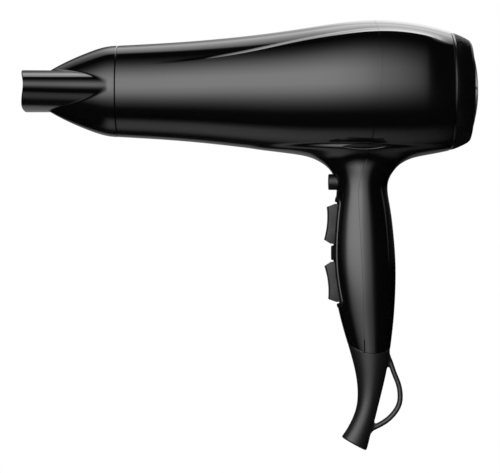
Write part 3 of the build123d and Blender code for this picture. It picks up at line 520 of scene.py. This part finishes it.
def make_relief():
    points, tris = voxel_shape([relief_rings(), loop_rings()], FINE_VOXEL)
    points = project(relief_field, points, 6)
    points = snap(points, tris, [saddle_line, bore_line], relief_field)
    middle = points[tris].mean(axis=1)
    kept = (saddle_line(middle) > 0) & (bore_line(middle) > 0)
    return skin_object("relief_look", points, tris[kept], relief_field, RELIEF_WALL, -0.05, 0.3)


# ---- concentrator -----------------------------------------------------------------------
dome_r = smooth_curve(
    [-215.0, -206.0, -196.0, -188.4, -176.4, -164.4, -154.0, -147.5, -140.0],
    [0.5, 1.0, 7.2, 12.3, 18.6, 23.6, 26.7, 27.35, 27.4],
)
slot_half = smooth_curve([-215.0, -204.0, -178.0, -151.0, -140.0], [33.2, 32.0, 29.3, 27.3, 26.4])
slot_thick = smooth_curve([-215.0, -204.0, -154.0, -140.0], [11.9, 11.9, 12.0, 12.0])


def nozzle_axes(p):
    """Across the flow, along the slot and square to it."""
    c, s = math.cos(NOZZLE_TURN), math.sin(NOZZLE_TURN)
    y, z = p[:, 1], p[:, 2] - AXIS_Z
    return y * c + z * s, z * c - y * s


def dome_field(p):
    return np.hypot(p[:, 1], p[:, 2] - AXIS_Z) - dome_r(p[:, 0])


def slot_field(p):
    along, across = nozzle_axes(p)
    half, thick = slot_half(p[:, 0]), slot_thick(p[:, 0])
    return (np.sqrt((along / half) ** 2 + (across / thick) ** 2) - 1) * thick


def nozzle_field(p):
    """Dome and slot tube in one, with a crisp corner between them. The tube ends inside the dome."""
    tube = true_distance(slot_field, p) + 30 * ramp(p[:, 0], -152.2, -148.8)
    return smooth_min(true_distance(dome_field, p), tube, 0.7)


def lip_line(p):
    """Positive beyond the bowed lip."""
    along, _ = nozzle_axes(p)
    return LIP_X + LIP_BOW * np.abs(along / LIP_HALF) ** 2.5 - p[:, 0]


def nozzle_seam_line(p):
    return p[:, 0] - (MOUTH_X - 0.1)


def nozzle_rings():
    dome, tube = [], []
    turn = full_turn(64)
    for x in np.linspace(-202.0, -144.0, 50):
        r = float(dome_r(x))
        dome.append(np.column_stack([np.full(64, x), r * np.cos(turn), AXIS_Z + r * np.sin(turn)]))
    c, s = math.cos(NOZZLE_TURN), math.sin(NOZZLE_TURN)
    for x in np.linspace(-207.0, -151.0, 50):
        along = float(slot_half(x)) * np.cos(turn)
        across = float(slot_thick(x)) * np.sin(turn)
        y, z = along * c - across * s, AXIS_Z + along * s + across * c
        tube.append(np.column_stack([np.full(64, x), y, z]))
    return [rings_mesh(dome), rings_mesh(tube)]


def make_nozzle():
    points, tris = voxel_shape(nozzle_rings(), FINE_VOXEL)
    points = project(nozzle_field, points, 6)
    points = snap(points, tris, [lip_line, nozzle_seam_line], nozzle_field)
    middle = points[tris].mean(axis=1)
    kept = (lip_line(middle) < 0) & (nozzle_seam_line(middle) < 0)
    return skin_object("concentrator_look", points, tris[kept], nozzle_field, NOZZLE_WALL, 0.0, 0.4)


# ---- shells, panel and lens -------------------------------------------------------------
def shell_sink(p):
    """How far a shell's edge is rounded over: finely along the grip and crown, more at the neck and ends."""
    at_neck = ramp(p[:, 2], 48, 54) * (1 - ramp(p[:, 2], 70, 80))
    at_end = (p[:, 0] < MOUTH_X + 3) | (p[:, 0] > REAR_X - 3) | (p[:, 2] < -50)
    return np.where(at_end, SEAM_SINK, 0.07 + 0.2 * at_neck)


def body_rings():
    rings = []
    turn = full_turn(64)
    for x in np.linspace(-152.0, 56.0, 90):
        top, bottom = float(body_top(x)), float(body_bottom(x))
        r, c = (top + bottom) / 2, AXIS_Z + (top - bottom) / 2
        rings.append(np.column_stack([np.full(64, x), r * np.cos(turn), c + r * np.sin(turn)]))
    return rings_mesh(rings)


def stem_rings():
    rings = []
    turn = full_turn(48)
    for z in np.linspace(-121.0, 66.0, 120):
        front, rear, half = float(stem_front(z)), float(stem_rear(z)), float(stem_half(z))
        x = (front + rear) / 2 + (rear - front) / 2 * np.cos(turn)
        rings.append(np.column_stack([x, half * np.sin(turn), np.full(48, z)]))
    return rings_mesh(rings)


def make_housing():
    """Shells, switch panel and lens, cut from one surface along its lines, by name."""
    points, tris = voxel_shape([body_rings(), stem_rings()], VOXEL)
    points = project(dryer_field, points, 6)
    lines = [mouth_line, rear_line, saddle_line, key_line, panel_line, lens_line, seam_line, above_ledge]
    points = snap(points, tris, lines, dryer_field)
    middle = points[tris].mean(axis=1)
    value = {line: line(middle) for line in lines}
    shell = (value[mouth_line] < 0) & (value[rear_line] < 0) & (value[saddle_line] <= 0)
    open_keys = value[key_line] < 0
    panel = shell & (value[panel_line] < 0)
    lens = shell & (value[lens_line] < 0)
    plain = shell & ~panel & ~open_keys & ~lens
    pieces = {
        "front_shell_look": (plain & (value[seam_line] < 0), SHELL_WALL, 0.0, shell_sink),
        "rear_shell_look": (plain & (value[seam_line] >= 0), SHELL_WALL, 0.0, shell_sink),
        "panel_look": (panel & ~open_keys, 1.3, 0.45, 0.5),
        "lens_look": (lens, 1.4, -0.9, 0.0),
    }
    return {
        name: skin_object(name, points, tris[kept], dryer_field, wall, lift, sink)
        for name, (kept, wall, lift, sink) in pieces.items()
    }


# ---- keys -------------------------------------------------------------------------------
def softened(name, source, width):
    """Rounded copy of a piece whose edges are too crisp for its moulding."""
    mesh = NODES[source].data.copy()
    bm = bmesh.new()
    bm.from_mesh(mesh)
    bmesh.ops.remove_doubles(bm, verts=bm.verts, dist=0.00002)
    bmesh.ops.dissolve_limit(bm, angle_limit=math.radians(2), verts=bm.verts, edges=bm.edges)
    edges = [e for e in bm.edges if e.is_manifold and e.calc_face_angle() > math.radians(28)]
    bmesh.ops.bevel(
        bm, geom=edges, offset=width, segments=3, profile=0.5, affect="EDGES",
        clamp_overlap=True, loop_slide=True,
    )
    bmesh.ops.recalc_face_normals(bm, faces=bm.faces)
    bm.to_mesh(mesh)
    bm.free()
    for face in mesh.polygons:
        face.use_smooth = True
    mesh.materials.clear()
    obj = link_object(name, mesh)
    mesh.set_sharp_from_angle(angle=math.radians(35))
    return obj


# ---- rear cap ---------------------------------------------------------------------------
CAP_LENGTH = 12.0
CAP_R = 35.1
CAP_RIM_R = 29.9
CAP_WALL = 2.0
CAP_SEAM = 0.3            # gap between the cap and the housing
SKIRT_GAP = 0.25
SKIRT_WALL = 1.5
SKIRT_DEPTH = 5.0
BAND = 0.115              # share of the flank that each plain band takes
RIBS = 120
RIB_WIDTH = 1.0
RIB_SINK = 0.35           # middle of a rib, below the plain bands
VALLEY_SINK = 0.75        # floor between the ribs


def socket(tree, name, kind, value):
    """Named number that a node tree takes in."""
    made = tree.interface.new_socket(name=name, in_out="INPUT", socket_type=kind)
    made.default_value = value


def ribbed_cap_tree(finish):
    """Ribs round a turned cap: a rounded bar along the cap's flank, repeated about the axis."""
    tree = bpy.data.node_groups.new("cap_ribs", "GeometryNodeTree")
    socket(tree, "Rib Count", "NodeSocketInt", RIBS)
    socket(tree, "Rib Width", "NodeSocketFloat", RIB_WIDTH)
    tree.interface.new_socket(name="Flank", in_out="INPUT", socket_type="NodeSocketObject")
    tree.interface.new_socket(name="Geometry", in_out="OUTPUT", socket_type="NodeSocketGeometry")
    made = {}

    def add(key, kind, **settings):
        made[key] = tree.nodes.new(kind)
        for name, value in settings.items():
            setattr(made[key], name, value)
        return made[key]

    def join(a, out, b, into):
        tree.links.new(made[a].outputs[out], made[b].inputs[into])

    add("in", "NodeGroupInput")
    add("out", "NodeGroupOutput")
    add("flank", "GeometryNodeObjectInfo")
    add("path", "GeometryNodeMeshToCurve")
    add("profile", "GeometryNodeCurvePrimitiveCircle").inputs["Resolution"].default_value = 8
    add("half", "ShaderNodeMath", operation="MULTIPLY").inputs[1].default_value = 0.5
    add("bar", "GeometryNodeCurveToMesh").inputs["Fill Caps"].default_value = True
    add("again", "GeometryNodeDuplicateElements", domain="SPLINE")
    add("step", "ShaderNodeMath", operation="DIVIDE").inputs[0].default_value = 2 * math.pi
    add("angle", "ShaderNodeMath", operation="MULTIPLY")
    add("where", "GeometryNodeInputPosition")
    add("turn", "ShaderNodeVectorRotate", rotation_type="X_AXIS")
    add("place", "GeometryNodeSetPosition")
    add("real", "GeometryNodeRealizeInstances")
    add("smooth", "GeometryNodeSetShadeSmooth")
    add("finish", "GeometryNodeSetMaterial").inputs["Material"].default_value = finish
    join("in", "Flank", "flank", "Object")
    join("flank", "Geometry", "path", "Mesh")
    join("path", "Curve", "again", "Geometry")
    join("in", "Rib Count", "again", "Amount")
    join("in", "Rib Count", "step", 1)
    join("step", 0, "angle", 0)
    join("again", "Duplicate Index", "angle", 1)
    join("angle", 0, "turn", "Angle")
    join("where", 0, "turn", "Vector")
    join("again", "Geometry", "place", "Geometry")
    join("turn", 0, "place", "Position")
    join("place", "Geometry", "bar", "Curve")
    join("in", "Rib Width", "half", 0)
    join("half", 0, "profile", "Radius")
    join("profile", "Curve", "bar", "Profile Curve")
    join("bar", "Mesh", "real", "Geometry")
    join("real", "Geometry", "smooth", "Geometry")
    join("smooth", "Geometry", "finish", "Geometry")
    join("finish", "Geometry", "out", "Geometry")
    return tree


def flank_point(t, inset):
    """Point on the cap's rounded flank, as (x, radius). t runs from the seam (0) to the rim (1)."""
    x = REAR_X + CAP_SEAM + t * (CAP_LENGTH - CAP_SEAM)
    r = CAP_R - (CAP_R - CAP_RIM_R) * (0.55 * t + 0.45 * t * t)
    return x, r - inset


def line_object(name, points):
    mesh = bpy.data.meshes.new(name)
    mesh.from_pydata(points, [(i, i + 1) for i in range(len(points) - 1)], [])
    return link_object(name, mesh)


def run_tree(name, tree, values):
    """Mesh that a node tree makes from named values, in millimetres about the barrel axis."""
    holder = line_object(name + "_holder", [(0, 0, 0), (0, 0, 1)])
    live = holder.modifiers.new("make", "NODES")
    live.node_group = tree
    for item in tree.interface.items_tree:
        if item.in_out == "INPUT" and item.name in values:
            live[item.identifier] = values[item.name]
    bpy.context.view_layer.update()
    seen = holder.evaluated_get(bpy.context.evaluated_depsgraph_get())
    mesh = bpy.data.meshes.new_from_object(seen)
    bpy.data.objects.remove(holder)
    return mesh


def turned_mesh(bm, outline, steps=120):
    """Ring about the axis through a closed outline of (x, r)."""
    rows = []
    for i in range(steps):
        a = 2 * math.pi * i / steps
        rows.append([bm.verts.new((x, r * math.cos(a), r * math.sin(a))) for x, r in outline])
    n = len(outline)
    for i in range(steps):
        this, after = rows[i], rows[(i + 1) % steps]
        for j in range(n):
            k = (j + 1) % n
            bm.faces.new((this[j], this[k], after[k], after[j]))


def make_cap(finish):
    """Rear cap: two turned bands, fine ribs between them and the skirt that plugs into the housing."""
    line = [flank_point(0.1 + 0.045 * i, RIB_SINK) for i in range(19)]
    flank = line_object("flank", [(x, 0.0, r) for x, r in line])
    values = {"Flank": flank, "Rib Count": RIBS, "Rib Width": RIB_WIDTH}
    ribs = run_tree("cap_ribs", ribbed_cap_tree(finish), values)
    bpy.data.objects.remove(flank)
    bm = bmesh.new()
    bm.from_mesh(ribs)
    back = [flank_point(t, VALLEY_SINK) for t in np.linspace(0.1, 0.9, 12)]
    inner = [flank_point(t, CAP_WALL) for t in np.linspace(0.9, 0.1, 12)]
    turned_mesh(bm, back + inner)
    for t0, t1, ease in ((0.0, BAND, 0.12), (1 - BAND, 1.0, 0.0)):
        outer = [flank_point(t, 0.0) for t in np.linspace(t0, t1, 5)]
        outer[0] = (outer[0][0] + ease, outer[0][1] - ease)
        lining = [flank_point(t, CAP_WALL) for t in np.linspace(t1, t0, 5)]
        turned_mesh(bm, outer + lining)
    x0, x1 = REAR_X + CAP_SEAM, REAR_X - SKIRT_DEPTH
    out = CAP_R - SHELL_WALL - SKIRT_GAP
    bore = out - SKIRT_WALL
    turned_mesh(bm, [(x0, CAP_R - 1), (x0 + 1.5, CAP_R - 1), (x0 + 1.5, bore), (x0, bore)])
    turned_mesh(bm, [(x1, out), (x0, out), (x0, bore), (x1, bore)])
    bmesh.ops.recalc_face_normals(bm, faces=bm.faces)
    for vert in bm.verts:
        vert.co = Vector((vert.co.x, vert.co.y, vert.co.z + AXIS_Z)) * MM
    mesh = bpy.data.meshes.new("rear_cap_look")
    bm.to_mesh(mesh)
    bm.free()
    for face in mesh.polygons:
        face.use_smooth = True
    obj = link_object("rear_cap_look", mesh)
    mesh.set_sharp_from_angle(angle=math.radians(40))
    return obj


# ---- materials --------------------------------------------------------------------------
def plastic(name, colour, roughness, wear=0.03, grain=0.0, grain_scale=900.0, shine=0.5, metallic=0.0):
    """Principled finish whose roughness and colour vary a little over the piece; grain is its bump."""
    mat = bpy.data.materials.new(name)
    mat.use_nodes = True
    nodes, links = mat.node_tree.nodes, mat.node_tree.links
    shader = nodes["Principled BSDF"]
    shader.inputs["Metallic"].default_value = metallic
    shader.inputs["Specular IOR Level"].default_value = shine
    place = nodes.new("ShaderNodeTexCoord")
    noise = nodes.new("ShaderNodeTexNoise")
    noise.inputs["Scale"].default_value = 55.0
    noise.inputs["Detail"].default_value = 4.0
    links.new(place.outputs["Object"], noise.inputs["Vector"])
    spread = nodes.new("ShaderNodeMapRange")
    spread.inputs["To Min"].default_value = max(roughness - wear, 0.01)
    spread.inputs["To Max"].default_value = roughness + wear
    links.new(noise.outputs["Fac"], spread.inputs["Value"])
    links.new(spread.outputs["Result"], shader.inputs["Roughness"])
    mix = nodes.new("ShaderNodeMix")
    mix.data_type = "RGBA"
    mix.inputs["A"].default_value = (*colour, 1)
    mix.inputs["B"].default_value = (*[c * 1.25 for c in colour], 1)
    links.new(noise.outputs["Fac"], mix.inputs["Factor"])
    links.new(mix.outputs["Result"], shader.inputs["Base Color"])
    if grain:
        fine = nodes.new("ShaderNodeTexNoise")
        fine.inputs["Scale"].default_value = grain_scale
        fine.inputs["Detail"].default_value = 2.0
        links.new(place.outputs["Object"], fine.inputs["Vector"])
        bump = nodes.new("ShaderNodeBump")
        bump.inputs["Strength"].default_value = grain
        bump.inputs["Distance"].default_value = 0.0002
        links.new(fine.outputs["Fac"], bump.inputs["Height"])
        links.new(bump.outputs["Normal"], shader.inputs["Normal"])
    return mat


GLOSS = plastic("gloss_black_shell", (0.0014, 0.0014, 0.0015), 0.07, wear=0.01)
NOZZLE = plastic("gloss_black_nozzle", (0.0014, 0.0014, 0.0015), 0.05, wear=0.01)
SATIN = plastic("satin_black_panel", (0.003, 0.003, 0.0031), 0.28, grain=0.12, shine=0.4)
# painted shade: the lens recess gets a darker base colour than the gloss shell, standing in for the shadow
# in the gap
RECESS_PAINTED_SHADE = plastic("recess_painted_shade_black", (0.0006, 0.0006, 0.0006), 0.45, grain=0.1, shine=0.12)
KEY = plastic("key_black", (0.003, 0.003, 0.0031), 0.36, grain=0.3, shine=0.3)
SOFT = plastic(
    "relief_soft_black", (0.004, 0.004, 0.004), 0.4, wear=0.05, grain=0.35, grain_scale=600, shine=0.45,
)
NYLON = plastic("nylon_black_inner", (0.02, 0.02, 0.02), 0.5, grain=0.3)
NATURAL = plastic("nylon_natural", (0.6, 0.57, 0.5), 0.45, grain=0.1)
MICA = plastic("mica_sheet", (0.42, 0.34, 0.2), 0.5, wear=0.08, grain=0.5)
WIRE = plastic("nichrome_wire", (0.35, 0.33, 0.31), 0.35, metallic=1.0, grain=0.1)
STEEL = plastic("plated_steel", (0.6, 0.6, 0.61), 0.28, wear=0.06, metallic=1.0, grain=0.05)
BRONZE = plastic("sintered_bronze", (0.5, 0.32, 0.15), 0.4, metallic=1.0, grain=0.3)
FERRITE = plastic("ferrite", (0.03, 0.03, 0.032), 0.6, grain=0.5)
CERAMIC = plastic("ceramic", (0.7, 0.68, 0.62), 0.5, grain=0.2)
FILM = plastic("film_case", (0.6, 0.45, 0.08), 0.35, grain=0.1)
PVC = plastic("wire_pvc", (0.25, 0.02, 0.02), 0.4, grain=0.1)
CAP_BLACK = plastic("rear_cap_black", (0.0018, 0.0018, 0.0019), 0.22, wear=0.03, grain=0.1)
MESH = plastic("filter_mesh_black", (0.01, 0.01, 0.01), 0.5, grain=0.2)
GRILLE = plastic("rear_grille_dark_chrome", (0.12, 0.12, 0.125), 0.18, metallic=0.9)

CAD_FINISH = {
    "gloss_black": GLOSS, "satin_black": SATIN, "key_black": KEY, "nozzle_black": NOZZLE,
    "relief_rubber": SOFT, "nylon_black": NYLON, "nylon_natural": NATURAL, "mica": MICA,
    "nichrome": WIRE, "steel": STEEL, "bronze": BRONZE, "ferrite": FERRITE, "ceramic": CERAMIC,
    "film_yellow": FILM, "wire_pvc": PVC, "mesh_black": MESH,
}

# ---- pieces -----------------------------------------------------------------------------
looks = make_housing()
looks["relief_look"] = make_relief()
looks["concentrator_look"] = make_nozzle()
looks["speed_key_look"] = softened("speed_key_look", "speed_rocker", 0.0004)
looks["heat_key_look"] = softened("heat_key_look", "heat_rocker", 0.0004)
looks["button_look"] = softened("button_look", "cool_shot_button", 0.0003)
looks["rear_cap_look"] = make_cap(CAP_BLACK)
# look, body that it rides on, nodes that it stands in for, finish, slot
for name, body, nodes, finish, slot in (
    ("front_shell_look", "housing", ["front_shell"], GLOSS, "gloss_black"),
    ("rear_shell_look", "housing", ["rear_shell"], GLOSS, "gloss_black"),
    ("panel_look", "housing", ["switch_panel"], SATIN, "satin_black"),
    # the lens piece carries the painted shade of its recess
    ("lens_look", "housing", [], RECESS_PAINTED_SHADE, "satin_black"),
    ("relief_look", "housing", ["strain_relief"], SOFT, "relief_rubber"),
    ("concentrator_look", "nozzle", ["concentrator_nozzle"], NOZZLE, "nozzle_black"),
    ("speed_key_look", "speed_key", ["speed_rocker"], KEY, "key_black"),
    ("heat_key_look", "heat_key", ["heat_rocker"], KEY, "key_black"),
    ("button_look", "cool_shot_key", ["cool_shot_button"], KEY, "key_black"),
    ("rear_cap_look", "rear_cap", ["rear_filter_cap"], CAP_BLACK, "gloss_black"),
):
    piece = looks[name]
    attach(piece, body)
    if nodes:
        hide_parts(*nodes)
    if not piece.data.materials:
        piece.data.materials.append(finish)

for part in frame["record"]["subparts"]:
    mesh = NODES[part["node"]].data
    mesh.materials.clear()
    mesh.materials.append(CAD_FINISH[part["material_slot"]])
NODES["rear_grille"].data.materials[0] = GRILLE


# ---- studio -----------------------------------------------------------------------------
def maths(tree, operation, *values):
    made = tree.nodes.new("ShaderNodeMath")
    made.operation = operation
    for i, v in enumerate(values):
        if isinstance(v, (int, float)):
            made.inputs[i].default_value = v
        else:
            tree.links.new(v, made.inputs[i])
    return made.outputs[0]


def fade(tree, value, low, high, to_low=0.0, to_high=1.0):
    """Smooth step from to_low at low to to_high at high."""
    made = tree.nodes.new("ShaderNodeMapRange")
    made.interpolation_type = "SMOOTHERSTEP"
    tree.links.new(value, made.inputs["Value"])
    for key, v in (("From Min", low), ("From Max", high), ("To Min", to_low), ("To Max", to_high)):
        made.inputs[key].default_value = v
    return made.outputs["Result"]


# brightness of the studio by level, in degrees: 0 is the camera's side, 90 overhead, 180 behind
STUDIO_BY_LEVEL = [
    (-180, 0.35), (-152, 0.35), (-140, 0.02), (-126, 0.03), (-108, 0.5), (-98, 0.65), (-88, 0.6),
    (-78, 0.18), (-70, 0.0), (-50, 0.02), (-40, 0.3), (-30, 0.9), (-20, 1.9), (-10, 3.2), (0, 4.2),
    (10, 4.8), (20, 4.8), (30, 4.3),
    (40, 3.4), (50, 2.3), (60, 1.3), (70, 0.5), (80, 0.12), (90, 0.0), (101, 0.0), (106, 1.6), (112, 2.8),
    (120, 3.4), (130, 3.6), (137, 2.2), (144, 0.9), (152, 0.3), (162, 0.15), (180, 0.15),
]
# the top light's glow further back, seen only towards the rear
GLOW_BY_LEVEL = [
    (-180, 0.0), (132, 0.0), (142, 1.5), (150, 1.9), (160, 1.5), (168, 0.7), (176, 0.1), (180, 0.0),
]
# share of each by direction along the dryer: -1 is towards the outlet
FRONT_BY_SIDE = [
    (-1.0, 0.0), (-0.92, 0.1), (-0.83, 0.5), (-0.67, 0.92), (-0.45, 1.0), (-0.25, 1.0), (-0.1, 0.86),
    (0.05, 0.58), (0.2, 0.4), (0.34, 0.24), (0.45, 0.07), (0.55, 0.015), (0.7, 0.0), (1.0, 0.0),
]
TOP_BY_SIDE = [
    (-1.0, 0.02), (-0.6, 0.12), (-0.3, 0.35), (-0.14, 0.58), (-0.09, 0.65), (-0.04, 0.9), (0.2, 1.0),
    (0.5, 0.4), (1.0, 0.1),
]
GLOW_BY_SIDE = [
    (-1.0, 0.0), (-0.2, 0.0), (-0.08, 0.1), (0.06, 0.9), (0.2, 1.0), (0.45, 0.4), (0.8, 0.0), (1.0, 0.0),
]


def table_of(tree, value, low, high, pairs, top, measure):
    """Value looked up in a table of (position, brightness) pairs. top is above every brightness."""
    span = tree.nodes.new("ShaderNodeMapRange")
    tree.links.new(value, span.inputs["Value"])
    span.inputs["From Min"].default_value = low
    span.inputs["From Max"].default_value = high
    curve = tree.nodes.new("ShaderNodeFloatCurve")
    points = curve.mapping.curves[0].points
    spots = [((measure(a) - low) / (high - low), b / top) for a, b in pairs]
    points[0].location, points[-1].location = spots[0], spots[-1]
    for spot in spots[1:-1]:
        points.new(*spot)
    for point in points:
        point.handle_type = "AUTO_CLAMPED"
    curve.mapping.update()
    tree.links.new(span.outputs["Result"], curve.inputs["Value"])
    return maths(tree, "MULTIPLY", curve.outputs["Value"], top)


def background(tree, strength):
    """White light whose strength is a number or comes from a node."""
    made = tree.nodes.new("ShaderNodeBackground")
    made.inputs["Color"].default_value = (1, 1, 1, 1)
    if isinstance(strength, float):
        made.inputs["Strength"].default_value = strength
    else:
        tree.links.new(strength, made.inputs["Strength"])
    return made.outputs[0]


def studio_world():
    """White to the camera; to reflections, a dark room with soft boxes."""
    world = bpy.data.worlds.new("studio")
    bpy.context.scene.world = world
    world.use_nodes = True
    tree = world.node_tree
    tree.nodes.clear()

    def by_level(pairs, top):
        return table_of(tree, level, -math.pi, math.pi, pairs, top, math.radians)

    def by_side(pairs):
        return table_of(tree, x, -1.0, 1.0, pairs, 1.0, float)

    coord = tree.nodes.new("ShaderNodeTexCoord")
    split = tree.nodes.new("ShaderNodeSeparateXYZ")
    tree.links.new(coord.outputs["Generated"], split.inputs[0])
    x, y, z = split.outputs
    level = maths(tree, "ARCTAN2", z, maths(tree, "MULTIPLY", y, -1.0))
    is_top = fade(tree, maths(tree, "ABSOLUTE", maths(tree, "SUBTRACT", level, 2.4)), 0.80, 0.62)
    blend = tree.nodes.new("ShaderNodeMix")
    tree.links.new(is_top, blend.inputs["Factor"])
    tree.links.new(by_side(FRONT_BY_SIDE), blend.inputs["A"])
    tree.links.new(by_side(TOP_BY_SIDE), blend.inputs["B"])
    # the light from below is lost towards the outlet
    is_low = fade(tree, level, math.radians(-70), math.radians(-50), 1.0, 0.0)
    lost = maths(tree, "MULTIPLY", is_low, fade(tree, x, -0.45, -0.15, 1.0, 0.0))
    light = maths(tree, "MULTIPLY", by_level(STUDIO_BY_LEVEL, 7.0), maths(tree, "SUBTRACT", 1.0, lost))
    glow = maths(tree, "MULTIPLY", by_level(GLOW_BY_LEVEL, 2.0), by_side(GLOW_BY_SIDE))
    total = maths(tree, "ADD", maths(tree, "MULTIPLY", light, blend.outputs["Result"]), glow)
    path = tree.nodes.new("ShaderNodeLightPath")
    mix = tree.nodes.new("ShaderNodeMixShader")
    tree.links.new(path.outputs["Is Camera Ray"], mix.inputs["Fac"])
    tree.links.new(background(tree, total), mix.inputs[1])
    tree.links.new(background(tree, 1.0), mix.inputs[2])
    out = tree.nodes.new("ShaderNodeOutputWorld")
    tree.links.new(mix.outputs[0], out.inputs["Surface"])


def stage_floor():
    bpy.ops.mesh.primitive_plane_add(size=2.0, location=(-0.07, -0.1, -0.32))
    floor = bpy.context.active_object
    floor.name = "floor"
    mat = bpy.data.materials.new("pale_floor")
    mat.use_nodes = True
    shader = mat.node_tree.nodes["Principled BSDF"]
    shader.inputs["Base Color"].default_value = (0.9, 0.9, 0.9, 1)
    shader.inputs["Roughness"].default_value = 0.8
    floor.data.materials.append(mat)
    floor.visible_glossy = False


def camera():
    cam = bpy.data.cameras.new("camera")
    cam.lens = 120
    cam.sensor_width = 36
    obj = link_object("camera", cam)
    obj.location = (-0.0684, -1.0, 0.011)
    obj.rotation_euler = (math.radians(90), 0, 0)
    bpy.context.scene.camera = obj


studio_world()
stage_floor()
camera()
view = bpy.context.scene.view_settings
view.view_transform = "Standard"
view.look = "None"
